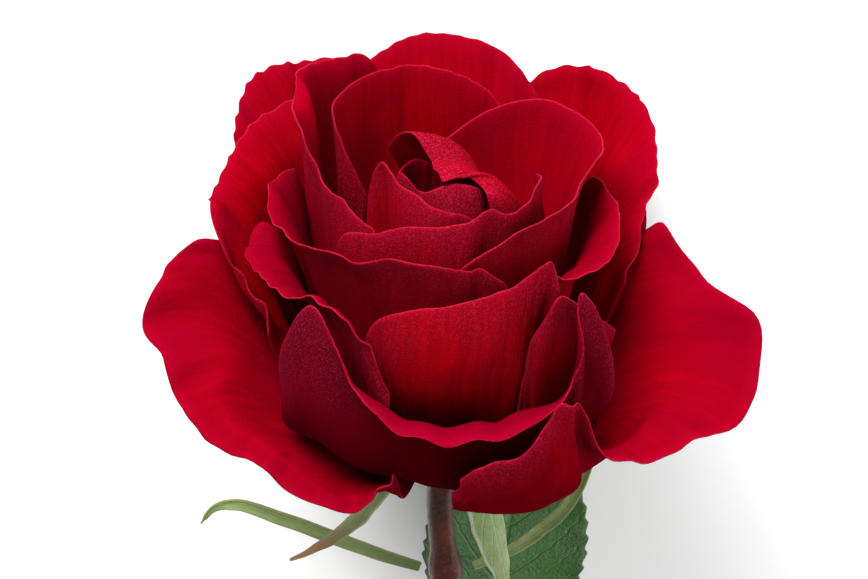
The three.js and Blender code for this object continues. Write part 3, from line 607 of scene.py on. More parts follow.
def ring_points(path, radii, sides):
    """Rings of points round a line, each with its own radius."""
    tangents = unit(np.gradient(path, axis=0))
    first = unit(np.cross(tangents, RING_FACES))
    second = np.cross(tangents, first)
    turn = np.linspace(0, 2 * math.pi, sides + 1)
    radii = np.asarray(radii)[:, None]
    cosine = (np.cos(turn)[None, :] * radii)[..., None]
    sine = (np.sin(turn)[None, :] * radii)[..., None]
    return path[:, None] + cosine * first[:, None] + sine * second[:, None]


def walled(made, wall):
    """Gives a sheet its wall and rounds it. The two skins and the edge take three materials."""
    wall_maker = made.modifiers.new("wall", "SOLIDIFY")
    wall_maker.thickness = wall / 1000
    wall_maker.offset = 0
    wall_maker.material_offset = 1
    wall_maker.material_offset_rim = 2
    rounded(made)


def rounded(made):
    rounder = made.modifiers.new("round", "SUBSURF")
    rounder.levels = 1
    rounder.render_levels = 1


# ---- petals ----------------------------------------------------------------------------------------
SKIN_WALL = 0.42
ACROSS = 48
ALONG = 40
RIMWARDS = 0.85  # less than 1 brings a sheet's rows closer together towards its rim

# Each petal's rim: how far it waves in and out of its sheet, in millimetres, how many waves it has,
# how deep it is notched, as a share of the petal, and its tone: 0 scarlet, 1 purple crimson.
RIMS = {
    "heart_petal_left": (0.2, 3, 0.0, 0.7),
    "heart_petal_front": (0.2, 3, 0.0, 0.6),
    "heart_petal_hood": (0.3, 3, 0.0, 0.35),
    "bud_petal_pointed": (0.25, 3, 0.004, 0.4),
    "back_petal_inner": (0.5, 4, 0.006, 0.15),
    "left_petal_tall": (0.8, 5, 0.012, 0.5),
    "front_petal_inner": (0.5, 5, 0.008, 0.4),
    "right_petal_wrap": (0.6, 5, 0.008, 0.25),
    "left_petal_lipped": (0.7, 7, 0.012, 0.6),
    "right_petal_inner": (0.3, 3, 0.004, 0.4),
    "right_petal_middle": (0.5, 4, 0.008, 0.3),
    "front_petal_bellied": (0.4, 4, 0.006, 0.0),
    "left_petal_reflexed": (0.9, 8, 0.014, 0.75),
    "front_petal_jaw": (0.9, 7, 0.012, 1.0),
    "left_petal_round": (1.1, 6, 0.022, 0.2),
    "back_petal_top": (1.1, 5, 0.016, 0.15),
    "right_petal_round": (1.2, 6, 0.024, 0.15),
    "back_petal_left": (1.3, 6, 0.028, 0.3),
    "left_petal_wing": (1.5, 8, 0.026, 0.6),
    "right_petal_wing": (1.5, 9, 0.034, 0.5),
}
PLAIN_RIM = (0.4, 4, 0.006, 0.3)
RUFFLED_FROM = 0.72  # how far up a petal its ruffles start
NOTCHED_FROM = 0.8
NOTCH_BITE = 0.6  # of a notch's depth in the table
NOTCH_WAVES = 5  # for each ruffle
FRILL = 0.45  # of the ruffles, in finer waves at the very rim
FRILL_WAVES = 3.1
CREASE = 0.2  # how deep a petal is creased along its length, in millimetres
CREASE_WAVES = 2.3
RIM_CREASE = 0.4  # of the creases that is left at the rim

# An uneven wave is the sum of three: the share, the relative count and the shift of each.
WAVE_PARTS = [(0.5, 1, 0.37), (0.3, 1.73, 0.61), (0.2, 0.58, 0.13)]


def wave(t, count, seed):
    """An uneven wave from -1 to 1, along a rim, a blade or a stem."""
    parts = [
        share * np.sin(2 * math.pi * (often * count * t + shift * seed)) for share, often, shift in WAVE_PARTS
    ]
    return sum(parts)


def petal_points(petal, order, shift, seed):
    """A petal's fine sheet, with its rim waved and notched."""
    u, v = sheet_grid(ACROSS, ALONG)
    v = v**RIMWARDS
    points = laid(petal, order, shift, u, v)
    ruffle, count, notch, _ = RIMS.get(petal["name"], PLAIN_RIM)
    at_rim = smooth(v, RUFFLED_FROM, 1)
    normal = outward(points, petal)
    along = unit(np.gradient(points, axis=0))
    notches = wave(u, NOTCH_WAVES * count, seed + 3)
    frill = FRILL * wave(u, FRILL_WAVES * count, seed + 11)
    ruffles = ruffle * at_rim * (wave(u, count, seed) + frill * at_rim)
    length = np.linalg.norm(points[-1] - points[0], axis=-1)[None, :]
    bite = smooth(v, NOTCHED_FROM, 1) * notch * (notches - 1) * NOTCH_BITE * length
    flattened = mix(1, RIM_CREASE, smooth(v, 0.85, 1))
    creases = CREASE * smooth(v, 0.15, 0.6) * flattened * wave(u, CREASE_WAVES * count, seed + 7)
    return points + normal * (ruffles + creases)[..., None] + along * bite[..., None]


def make_petals(materials):
    for k, (petal, order, shift) in enumerate(SETTLED):
        points = petal_points(petal, order, shift, k)
        made = sheet(points)
        if runs_back(petal):
            bmesh.ops.reverse_faces(made, faces=made.faces[:])
        tone = RIMS.get(petal["name"], PLAIN_RIM)[3]
        piece = keep(petal["name"] + "_skin", made, materials, petal["name"], tone)
        walled(piece, SKIN_WALL)


# ---- hip and stem -----------------------------------------------------------------------------------
HIP_STEPS = 24
HIP_SIDES = 40
HIP_RIBS = 5
HIP_RIB_DEPTH = 0.015  # of its radius

# The stem leans a little and bends at its nodes.
STEM_BENDS = [(0, 0), (-0.6, 0), (0.6, 0.3), (4, 1), (10, 0.5), (13, -0.5), (11, -1)]
NECK_BEND = 0.57  # where the first bend is, between the bloom's seat and the bract node
BENDS_BELOW = [0, 45, 90, 150]  # of the bract node
NODES_BELOW = [0, 62, 118]
NODE_HEIGHTS = [-BRACT_NODE - below for below in NODES_BELOW]
NODE_SPREAD = 4  # half of a node's length along the stem
FOOT_SPREAD = 1.12  # the stem's radius at its cut end, over its radius at the hip
NECKING = 0.12  # how much the stem narrows where it meets the hip
NECK_SHARE = 1 / 90  # of the stem's length, within which it narrows
UNEVEN = 0.012  # of its radius
CUT_BEVEL = 0.25
STEM_POINTS = 600
STEM_RINGS = 320
STEM_SIDES = 28
STEM_TOP = HIP_TOP - HIP_LENGTH - 2 * SEAT_GAP
BEND_HEIGHTS = [
    STEM_TOP,
    -BRACT_NODE * NECK_BEND,
    *(-BRACT_NODE - below for below in BENDS_BELOW),
    STEM_TOP - STEM_LENGTH,
]
STEM_LINE = spline([(x, y, z) for (x, y), z in zip(STEM_BENDS, BEND_HEIGHTS)], STEM_POINTS)

# Each prickle: height, azimuth on the stem.
PRICKLES = [(-62, 75), (-78, -110), (-97, 20), (-118, 150), (-140, -60), (-168, 95), (-186, -150), (-214, 10)]
PRICKLE_DROP = 2  # how far a prickle's tip is below its root
PRICKLE_HOOK = 0.5  # how far its middle is above a straight line
PRICKLE_ROOT = 1.9  # radius
PRICKLE_TIP = 0.12
PRICKLE_TAPER = 0.6  # below 1 it thins soon after its root
PRICKLE_STEPS = 10
PRICKLE_SIDES = 16


def stem_at(height):
    """The stem's centre at a height."""
    order = np.argsort(STEM_LINE[:, 2])
    line = STEM_LINE[order]
    return np.array([np.interp(height, line[:, 2], line[:, c]) for c in range(3)])


def make_hip(material):
    outline = spline([(r * HIP_RADIUS, 0, z * HIP_LENGTH) for r, z in HIP_OUTLINE], HIP_STEPS)
    turn = np.linspace(0, 2 * math.pi, HIP_SIDES + 1)
    radius = outline[:, 0:1] * (1 + HIP_RIB_DEPTH * np.cos(HIP_RIBS * turn)[None, :])
    points = around(np.degrees(turn)[None, :], radius, outline[:, 2:3] + HIP_TOP)
    rounded(keep("hip_skin", tube(points), [material], "hip"))


def make_stem(material):
    path = evenly(STEM_LINE, STEM_RINGS)
    share = np.linspace(0, 1, STEM_RINGS + 1)
    swell = sum(np.exp(-(((path[:, 2] - h) / NODE_SPREAD) ** 2)) for h in NODE_HEIGHTS)
    radius = STEM_RADIUS * mix(1, FOOT_SPREAD, share) * (1 + (NODE_SWELL - 1) * swell)
    radius = radius * (1 - NECKING * np.exp(-share / NECK_SHARE)) * (1 + UNEVEN * wave(share, 23, 2))
    radius[-1] -= CUT_BEVEL
    rounded(keep("stem_skin", tube(ring_points(path, radius, STEM_SIDES)), [material], "stem"))


def make_prickles(material):
    for k, (height, azimuth) in enumerate(PRICKLES):
        foot = stem_at(height)
        out = around(azimuth, 1.0, 0.0)
        root = foot + out * STEM_RADIUS / 2
        tip = foot + out * (STEM_RADIUS + PRICKLE_LENGTH) - np.array([0, 0, PRICKLE_DROP])
        middle = (root + tip) / 2 + np.array([0, 0, PRICKLE_HOOK])
        line = arc(root, middle, tip, PRICKLE_STEPS)
        share = np.linspace(0, 1, PRICKLE_STEPS + 1)
        thick = mix(PRICKLE_ROOT, PRICKLE_TIP, share**PRICKLE_TAPER)
        made = tube(ring_points(line, thick, PRICKLE_SIDES))
        rounded(keep(f"prickle_{k + 1}_skin", made, [material], "stem"))


# ---- blades: sepals, bracts and leaflets ---------------------------------------------------------------
BLADE_FOOT = 0.02  # a blade runs over this part of its line
BLADE_TIP = 0.99
BLADE_WAVES = 5
BLADE_POINTS = 60  # of the line that a sepal or a leaflet runs along
BRACT_POINTS = 80
SEPAL_SKIN = 0.6
BRACT_SKIN = 0.5
LEAF_SKIN = 0.45


def blade_points(line, width, outline, face, cup, across, along, wavy, seed):
    """A thin blade along a line, as rows of points. Its edges stand up by cup times the half-width."""
    u, v = sheet_grid(across, along)
    t = mix(BLADE_FOOT, BLADE_TIP, v[:, 0])
    steps = np.linspace(0, 1, len(line))
    centre = np.stack([np.interp(t, steps, line[:, c]) for c in range(3)], axis=-1)
    slopes = np.gradient(line, axis=0)
    tangent = unit(np.stack([np.interp(t, steps, slopes[:, c]) for c in range(3)], axis=-1))
    side = unit(np.cross(tangent, face))
    normal = unit(np.cross(side, tangent))
    half = 0.5 * width * outline(v)
    s = 2 * u - 1
    ripple = wavy * np.abs(s) ** 3 * wave(v, BLADE_WAVES, seed) * smooth(v, 0.05, 0.3)
    lift = cup * half * s * s + ripple
    return centre[:, None] + side[:, None] * (s * half)[..., None] + normal[:, None] * lift[..., None]


def make_blade(node, slot, materials, wall, **shape):
    made = sheet(blade_points(**shape))
    piece = keep(node + "_skin", made, materials, node)
    walled(piece, wall)


# Each sepal: name, azimuth, how far it turns up at its tip, in degrees from straight down, and its
# share of the full width.
SEPALS = [
    ("sepal_left", -72, 84, 0.55),
    ("sepal_front", 48, 14, 1),
    ("sepal_right", 120, 75, 0.9),
    ("sepal_back", 172, 40, 1),
    ("sepal_back_left", 236, 75, 0.9),
]
SEPAL_STEPS = 12
SEPAL_ROOT_TURN = 16  # degrees out from straight down, at the hip
SEPAL_DROP = 1.5  # of a sepal's root, below the hip's top
SEPAL_CURL = 1.4  # above 1 it turns up most near its tip


def sepal_outline(v):
    return np.maximum(0.08, np.sin(math.pi * mix(0.24, 1, v)) ** 0.9)


def sepal_line(azimuth, turn_up):
    """From the hip's rim down, and out to the sepal's tip."""
    radius = HIP_RADIUS + SEPAL_WALL + SEAT_GAP
    height = HIP_TOP - SEPAL_DROP
    points = []
    for step in range(SEPAL_STEPS + 1):
        points.append(around(azimuth, radius, height))
        angle = math.radians(mix(SEPAL_ROOT_TURN, turn_up, (step / SEPAL_STEPS) ** SEPAL_CURL))
        radius += SEPAL_LENGTH / SEPAL_STEPS * math.sin(angle)
        height -= SEPAL_LENGTH / SEPAL_STEPS * math.cos(angle)
    return spline(points, BLADE_POINTS)


def make_sepals(fresh, dry):
    for k, (name, azimuth, turn_up, share) in enumerate(SEPALS):
        make_blade(
            name,
            "sepal",
            dry if name == "sepal_left" else fresh,
            SEPAL_SKIN,
            line=sepal_line(azimuth, turn_up),
            width=SEPAL_WIDTH * share,
            outline=sepal_outline,
            face=around(azimuth, 1.0, 0.0),
            cup=-0.35,
            across=12,
            along=30,
            wavy=0.4,
            seed=k,
        )


# The bracts' lines from the node, at a length of 52 mm: right, up from the surface, towards the bloom.
BRACT_OUTLINE = 52
BRACT_LINES = {
    "bract_left": [
        (0, 0, 0), (-9, 0.5, 3.5), (-18, 0.8, 8), (-28, 1, 13),
        (-36, 1.5, 16), (-40.2, 2, 14.5), (-43.4, 2.5, 9.5),
    ],
    "bract_right": [
        (0, 0, 0), (9.6, 5, 0.5), (14.7, 8, 2.5), (19.4, 8.5, 8),
        (22.6, 9, 16), (25, 9.5, 26), (25.5, 10, 35),
    ],
}


def bract_outline(v):
    return np.maximum(0.12, np.sin(math.pi * mix(0.2, 1, v)) ** 0.7)


def make_bracts(materials):
    node = stem_at(-BRACT_NODE)
    clear = STEM_RADIUS * NODE_SWELL + SEAT_GAP
    for name, rows in BRACT_LINES.items():
        foot = node + np.array([clear * np.sign(rows[-1][0]), 0, 0])
        make_blade(
            name,
            "bract",
            materials,
            BRACT_SKIN,
            line=spline([foot + np.array(row) * BRACT_LENGTH / BRACT_OUTLINE for row in rows], BRACT_POINTS),
            width=BRACT_WIDTH,
            outline=bract_outline,
            face=np.array([0, -1, 0.5]),
            cup=0.4,
            across=8,
            along=48,
            wavy=0.25,
            seed=len(name),
        )


STALK_TAPER = 0.65  # a leaf stalk's radius at its end, over its radius at its foot
STALK_SIDES = 12
STALK_RINGS = 24
STALK_POINTS = 60
LEAFLET_SAG = 0.1  # of its length
LEAFLET_BEND = 0.15  # of its sag, at its middle
LEAFLET_FOOT = 0.03  # of its length, that the stalk grows on to meet it
PAIR_TURN = 58  # degrees between a side leaflet and the stalk
PAIR_PLACE = 0.68  # of the uppermost pair along the stalk
PAIR_STEP = 0.42
PAIR_SIZE = 0.74  # of the uppermost pair, over the end leaflet's
PAIR_SHRINK = 0.1
TEETH = 17
TOOTH_DEPTH = 0.06  # of the leaflet's width

# side: 1 to the right, -1 to the left. droop: how far the stalk's end drops below its foot.
# end_turn: how far the end leaflet turns away from the stem, in degrees.
RIGHT_LEAF = dict(side=1, reach=-3, rise=26, droop=8.7, end_turn=20, pairs=0, size=1)
LEFT_LEAF = dict(side=-1, reach=52, rise=26, droop=8, end_turn=0, pairs=2, size=0.8)


def serrated(v):
    """A leaflet's outline, with small teeth that point to the tip."""
    body = np.maximum(0.06, np.sin(math.pi * v**0.85) ** 0.8)
    return body * (0.965 + TOOTH_DEPTH * ((v * TEETH) % 1))


def turned_about_y(vector, degrees):
    turn = math.radians(degrees)
    x, y, z = vector
    return np.array([x * math.cos(turn) + z * math.sin(turn), y, -x * math.sin(turn) + z * math.cos(turn)])


def make_leaf(name, stalk_material, materials, foot, side, reach, rise, droop, end_turn, pairs, size):
    """A compound leaf: a stalk with a leaflet at its end and pairs of smaller ones beside it."""
    stands = STEM_RADIUS * NODE_SWELL + 3 * SEAT_GAP
    bows = [(side * (stands + reach * t), droop * t * t, rise * t) for t in (0, 0.33, 0.66, 1)]
    stalk = spline(foot + np.array(bows), STALK_POINTS)
    tip_away = turned_about_y(unit(stalk[-1] - stalk[-2]), side * end_turn)
    grown = stalk[-1] + tip_away * (SEAT_GAP + LEAF_WALL / 2 + LEAFLET_FOOT * LEAFLET_LENGTH * size)
    radii = STALK_RADIUS * np.linspace(1, STALK_TAPER, STALK_RINGS + 1)
    rings = ring_points(evenly(np.vstack([stalk, grown]), STALK_RINGS), radii, STALK_SIDES)
    rounded(keep(name + "_stalk_skin", tube(rings), [stalk_material], name + "_stalk"))
    leaflets = [("_leaflet_end", 1.0, end_turn, size)]
    for k in range(pairs):
        at, scale = PAIR_PLACE - PAIR_STEP * k, size * (PAIR_SIZE - PAIR_SHRINK * k)
        leaflets.append((f"_leaflet_upper_{k + 1}", at, PAIR_TURN, scale))
        leaflets.append((f"_leaflet_lower_{k + 1}", at, -PAIR_TURN, scale))
    for k, (label, at, turn, scale) in enumerate(leaflets):
        spot = round(at * STALK_POINTS)
        tangent = unit(stalk[min(STALK_POINTS, spot + 1)] - stalk[max(0, spot - 1)])
        away = turned_about_y(tangent, side * turn)
        length = LEAFLET_LENGTH * scale
        sag = np.array([0, LEAFLET_SAG * length, 0])
        clear = SEAT_GAP + (STALK_RADIUS + SEAT_GAP + LEAF_WALL if at < 1 else LEAF_WALL / 2)
        root = stalk[spot] + away * clear
        middle = root + away * length / 2 + sag * LEAFLET_BEND
        make_blade(
            name + label,
            "leaf",
            materials,
            LEAF_SKIN,
            line=arc(root, middle, root + away * length + sag, BLADE_POINTS),
            width=LEAFLET_WIDTH * scale,
            outline=serrated,
            face=np.array([0.0, -1, 0]),
            cup=0.16,
            across=20,
            along=6 * TEETH,
            wavy=0.5,
            seed=k + 3,
        )


def make_leaves(stalk_material, materials):
    upper, lower = NODE_HEIGHTS[1:]
    make_leaf("leaf_right", stalk_material, materials, stem_at(upper), **RIGHT_LEAF)
    make_leaf("leaf_left", stalk_material, materials, stem_at(lower), **LEFT_LEAF)


# ---- shader helpers --------------------------------------------------------------------------------


class Board:
    """A node tree wired by short calls. A value is a number, a colour or another node's output."""

    def __init__(self, tree):
        self.tree = tree

    def add(self, kind, inputs=None, **settings):
        node = self.tree.nodes.new(kind)
        for name, value in settings.items():
            setattr(node, name, value)
        for name, value in (inputs or {}).items():
            self.feed(node.inputs[name], value)
        return node

    def feed(self, socket, value):
        if isinstance(value, bpy.types.NodeSocket):
            self.tree.links.new(value, socket)
        else:
            socket.default_value = value

    def sum(self, operation, *values):
        node = self.add("ShaderNodeMath", operation=operation)
        for socket, value in zip(node.inputs, values):
            self.feed(socket, value)
        return node.outputs[0]

    def blend(self, share, first, second):
        node = self.add("ShaderNodeMix", data_type="RGBA")
        self.feed(node.inputs[0], share)
        self.feed(node.inputs[6], first)
        self.feed(node.inputs[7], second)
        return node.outputs[2]

    def spread(self, value, low, high, start=0.0, stop=1.0):
        names = {"Value": value, "From Min": low, "From Max": high, "To Min": start, "To Max": stop}
        return self.add("ShaderNodeMapRange", names, interpolation_type="SMOOTHSTEP").outputs[0]

    def noise(self, vector, scale, detail=2.0, rough=0.5):
        names = {"Vector": vector, "Scale": scale, "Detail": detail, "Roughness": rough}
        return self.add("ShaderNodeTexNoise", names).outputs["Fac"]

    def vector(self, x, y, z=0.0):
        return self.add("ShaderNodeCombineXYZ", {"X": x, "Y": y, "Z": z}).outputs[0]

    def parts(self, vector):
        return self.add("ShaderNodeSeparateXYZ", {"Vector": vector}).outputs

    def object_place(self):
        return self.add("ShaderNodeTexCoord").outputs["Object"]

    def surface_place(self):
        return self.add("ShaderNodeUVMap", uv_map="UVMap").outputs[0]


def new_group(name, inputs, outputs):
    """A shader node group, with its board and its two ends. inputs: (name, default). outputs: names."""
    group = bpy.data.node_groups.new(name, "ShaderNodeTree")
    for label, default in inputs:
        socket = group.interface.new_socket(label, in_out="INPUT", socket_type="NodeSocketFloat")
        socket.default_value = default
    for label in outputs:
        group.interface.new_socket(label, in_out="OUTPUT", socket_type="NodeSocketFloat")
    board = Board(group)
    return group, board, board.add("NodeGroupInput").outputs, board.add("NodeGroupOutput").inputs


def petal_grain():
    """Fine veins from the claw to the rim, velvet grain, blotches, and masks for the rim and the claw."""
    names = [("Veins Across", 60.0), ("Vein Depth", 1.0), ("Grain Depth", 1.0), ("Blotch Size", 55.0)]
    masks = ["Vein", "Blotch", "Rim", "Margin", "Claw", "Height", "Fleck"]
    group, board, given, result = new_group("Petal Grain", names, masks)
    place = board.object_place()
    u, v, _ = board.parts(board.surface_place())
    warp = board.sum("MULTIPLY", board.sum("SUBTRACT", board.noise(place, 90.0, 3.0), 0.5), 0.05)
    across = board.sum("MULTIPLY", board.sum("ADD", u, warp), given["Veins Across"])
    streak = board.noise(board.vector(across, board.sum("MULTIPLY", v, 3.2)), 1.0, 3.0, 0.6)
    slow = board.vector(board.sum("MULTIPLY", across, 0.22), board.sum("MULTIPLY", v, 1.3), 4.0)
    wide = board.noise(slow, 1.0, 2.0)
    vein = board.sum("ADD", board.sum("MULTIPLY", streak, 0.65), board.sum("MULTIPLY", wide, 0.35))
    grain = board.noise(place, 2600.0, 2.0)
    fleck = board.noise(place, 4200.0, 2.0, 0.7)
    blotch = board.noise(place, given["Blotch Size"], 3.0)
    board.feed(result["Vein"], board.spread(vein, 0.36, 0.64))
    board.feed(result["Blotch"], board.spread(blotch, 0.35, 0.65))
    board.feed(result["Fleck"], fleck)
    edge = board.sum("MINIMUM", u, board.sum("SUBTRACT", 1.0, u))
    side = board.sum("MULTIPLY", board.spread(edge, 0.03, 0.0), board.spread(v, 0.3, 0.7))
    # Rim: the mask for the painted highlight along the rim and the side edges.
    board.feed(result["Rim"], board.sum("MAXIMUM", board.spread(v, 0.93, 1.0), side))
    uneven = board.sum("ADD", v, board.sum("MULTIPLY", board.sum("SUBTRACT", blotch, 0.5), 0.5))
    board.feed(result["Margin"], board.spread(uneven, 0.6, 1.0))
    # Claw: the mask for the painted shade towards each petal's foot.
    board.feed(result["Claw"], board.spread(v, 0.5, 0.1))
    raised = board.sum("MULTIPLY", vein, given["Vein Depth"])
    board.feed(result["Height"], board.sum("ADD", raised, board.sum("MULTIPLY", grain, given["Grain Depth"])))
    return group


def skin_mottle():
    """Blotches, fine specks and lengthwise streaks for stems, sepals and leaves."""
    names = [("Blotch Size", 120.0), ("Speck Size", 1500.0), ("Streaks", 30.0)]
    group, board, given, result = new_group("Skin Mottle", names, ["Blotch", "Speck", "Streak", "Height"])
    place = board.object_place()
    u, v, _ = board.parts(board.surface_place())
    blotch = board.noise(place, given["Blotch Size"], 4.0, 0.6)
    speck = board.noise(place, given["Speck Size"], 2.0)
    lengthwise = board.vector(board.sum("MULTIPLY", u, given["Streaks"]), board.sum("MULTIPLY", v, 4.0))
    streak = board.noise(lengthwise, 1.0, 3.0)
    board.feed(result["Blotch"], board.spread(blotch, 0.35, 0.65))
    board.feed(result["Speck"], board.spread(speck, 0.4, 0.75))
    board.feed(result["Streak"], board.spread(streak, 0.35, 0.65))
    board.feed(result["Height"], board.sum("ADD", speck, board.sum("MULTIPLY", streak, 0.6)))
    return group


def leaf_veins():
    """A midrib and side veins that run out towards a blade's tip. Ribs is how many pairs."""
    masks = ["Midrib", "Rib", "Edge"]
    group, board, given, result = new_group("Leaf Veins", [("Ribs", 9.0), ("Slant", 0.35)], masks)
    u, v, _ = board.parts(board.surface_place())
    out = board.sum("ABSOLUTE", board.sum("SUBTRACT", board.sum("MULTIPLY", u, 2.0), 1.0))
    board.feed(result["Midrib"], board.spread(out, 0.07, 0.015))
    board.feed(result["Edge"], board.spread(out, 0.78, 0.97))
    bend = board.sum("MULTIPLY", board.sum("POWER", out, 1.2), given["Slant"])
    at = board.sum("MULTIPLY", board.sum("SUBTRACT", v, bend), given["Ribs"])
    away = board.sum("ABSOLUTE", board.sum("SUBTRACT", board.sum("FRACT", at), 0.5))
    board.feed(result["Rib"], board.spread(away, 0.1, 0.02))
    return group


def new_material(name, **constants):
    """A material with a Principled surface. Constants are set straight on its sockets."""
    material = bpy.data.materials.new(name)
    material.use_nodes = True
    surface = material.node_tree.nodes["Principled BSDF"]
    for label, value in constants.items():
        surface.inputs[label.replace("_", " ")].default_value = value
    return material, Board(material.node_tree), surface.inputs


def place_group(board, group, **values):
    node = board.add("ShaderNodeGroup")
    node.node_tree = group
    for label, value in values.items():
        board.feed(node.inputs[label.replace("_", " ")], value)
    return node.outputs


def bumped(board, surface, height, strength, distance):
    names = {"Height": height, "Strength": strength, "Distance": distance}
    board.feed(surface["Normal"], board.add("ShaderNodeBump", names).outputs[0])


# ---- colours ------------------------------------------------------------------------------------------
SCARLET = (0.28, 0.0001, 0.0006, 1)
DEEP_RED = (0.33, 0.0001, 0.0034, 1)
CRIMSON = (0.15, 0.0001, 0.0075, 1)
WINE = (0.075, 0.0001, 0.004, 1)
# Painted highlight: a lighter pink for the petals' thin edges, where they catch the light.
PAINTED_RIM_HIGHLIGHT = (0.27, 0.001, 0.016, 1)
VEIN_WINE = (0.11, 0.0001, 0.003, 1)
# Painted sheen: the pink that the velvet fuzz shows in the light, painted into the colour as specks.
PINK_PAINTED_SHEEN = (0.42, 0.05, 0.11, 1)
SHEEN_ROSE = (1.0, 0.02, 0.16, 1)

# Stems, prickles, hip and stalks: the dark skin, its lighter blotches and its specks.
STEM_BROWNS = [(0.035, 0.006, 0.003, 1), (0.09, 0.014, 0.006, 1), (0.13, 0.035, 0.012, 1)]
PRICKLE_BROWNS = [(0.16, 0.03, 0.015, 1), (0.28, 0.08, 0.03, 1), (0.4, 0.2, 0.09, 1)]
HIP_GREENS = [(0.12, 0.19, 0.05, 1), (0.2, 0.26, 0.09, 1), (0.3, 0.34, 0.16, 1)]
STALK_GREENS = [(0.07, 0.11, 0.03, 1), (0.12, 0.16, 0.05, 1), (0.2, 0.1, 0.05, 1)]

# Blades: the body, its lighter blotches, the ribs and the edge.
SEPAL_GREENS = [(0.17, 0.25, 0.08, 1), (0.27, 0.34, 0.14, 1), (0.3, 0.36, 0.2, 1), (0.62, 0.62, 0.5, 1)]
DRY_GREENS = [(0.14, 0.21, 0.06, 1), (0.24, 0.28, 0.1, 1), (0.3, 0.34, 0.18, 1), (0.5, 0.48, 0.34, 1)]
DRY_TIP = (0.22, 0.1, 0.03, 1)
BRACT_GREENS = [(0.12, 0.19, 0.05, 1), (0.2, 0.28, 0.09, 1), (0.26, 0.32, 0.14, 1), (0.3, 0.2, 0.1, 1)]
LEAF_GREENS = [(0.012, 0.075, 0.008, 1), (0.03, 0.13, 0.015, 1), (0.09, 0.2, 0.05, 1), (0.06, 0.09, 0.03, 1)]
UNDERSIDE_GREENS = [(0.1, 0.17, 0.08, 1), (0.14, 0.22, 0.11, 1), (0.2, 0.27, 0.15, 1), (0.12, 0.16, 0.08, 1)]


def petal_material(name, grain, light, dark, margin, painted_sheen, sheen, vein_depth):
    """light and dark: at tones 0 and 1. margin, painted_sheen: how much of them shows towards the rim;
    painted_sheen is the velvet's pink sheen, painted into the colour as specks.
    """
    material, board, surface = new_material(
        name,
        Roughness=0.55,
        Sheen_Weight=sheen,
        Sheen_Roughness=0.35,
        Sheen_Tint=SHEEN_ROSE,
        Specular_IOR_Level=0.0,
    )
    detail = place_group(board, grain, Vein_Depth=vein_depth, Grain_Depth=0.35)
    tone = board.add("ShaderNodeAttribute", attribute_name="tone").outputs["Fac"]
    base = board.blend(tone, light, dark)
    veined = board.blend(board.sum("MULTIPLY", detail["Vein"], 0.42), base, VEIN_WINE)
    blotched = board.blend(board.sum("MULTIPLY", detail["Blotch"], 0.4), veined, dark)
    # Painted shade: each petal darkens towards its claw, deep in the cup where the petals shade one another.
    claw_shade_darkened = board.blend(board.sum("MULTIPLY", detail["Claw"], 0.85), blotched, WINE)
    edged = board.blend(board.sum("MULTIPLY", detail["Margin"], margin), claw_shade_darkened, CRIMSON)
    # Painted highlight: a lighter pink line along the rim and the side edges.
    rim_highlighted = board.blend(board.sum("MULTIPLY", detail["Rim"], 0.3), edged, PAINTED_RIM_HIGHLIGHT)
    # Pink specks of painted sheen towards the rim, standing in for the velvet's shine.
    painted_sheen_reach = board.sum("MULTIPLY", detail["Margin"], painted_sheen)
    painted_sheen_specks = board.sum("MULTIPLY", board.spread(detail["Fleck"], 0.45, 0.8), painted_sheen_reach)
    board.feed(surface["Base Color"], board.blend(painted_sheen_specks, rim_highlighted, PINK_PAINTED_SHEEN))
    board.feed(surface["Roughness"], board.spread(detail["Fleck"], 0.3, 0.7, 0.46, 0.66))
    bumped(board, surface, detail["Height"], 0.5, 0.0006)
    return material


def rim_highlight_material(grain):
    # The petals' cut edges: a lighter pink painted highlight, veined with crimson.
    material, board, surface = new_material("Petal rim highlight", Roughness=0.7, Specular_IOR_Level=0.05)
    detail = place_group(board, grain, Veins_Across=160.0)
    board.feed(surface["Base Color"], board.blend(detail["Vein"], PAINTED_RIM_HIGHLIGHT, CRIMSON))
    board.feed(surface["Roughness"], board.spread(detail["Fleck"], 0.3, 0.7, 0.42, 0.6))
    bumped(board, surface, detail["Height"], 0.2, 0.0003)
    return material


def stem_material(name, mottle, dark, light, speck):
    material, board, surface = new_material(name, Roughness=0.4, Specular_IOR_Level=0.4)
    detail = place_group(board, mottle, Blotch_Size=140.0, Speck_Size=1300.0, Streaks=14.0)
    base = board.blend(detail["Blotch"], dark, light)
    streaked = board.blend(board.sum("MULTIPLY", detail["Streak"], 0.35), base, dark)
    specks = board.sum("MULTIPLY", detail["Speck"], 0.5)
    board.feed(surface["Base Color"], board.blend(specks, streaked, speck))
    board.feed(surface["Roughness"], board.spread(detail["Speck"], 0.0, 1.0, 0.34, 0.55))
    bumped(board, surface, detail["Height"], 0.4, 0.0003)
    return material


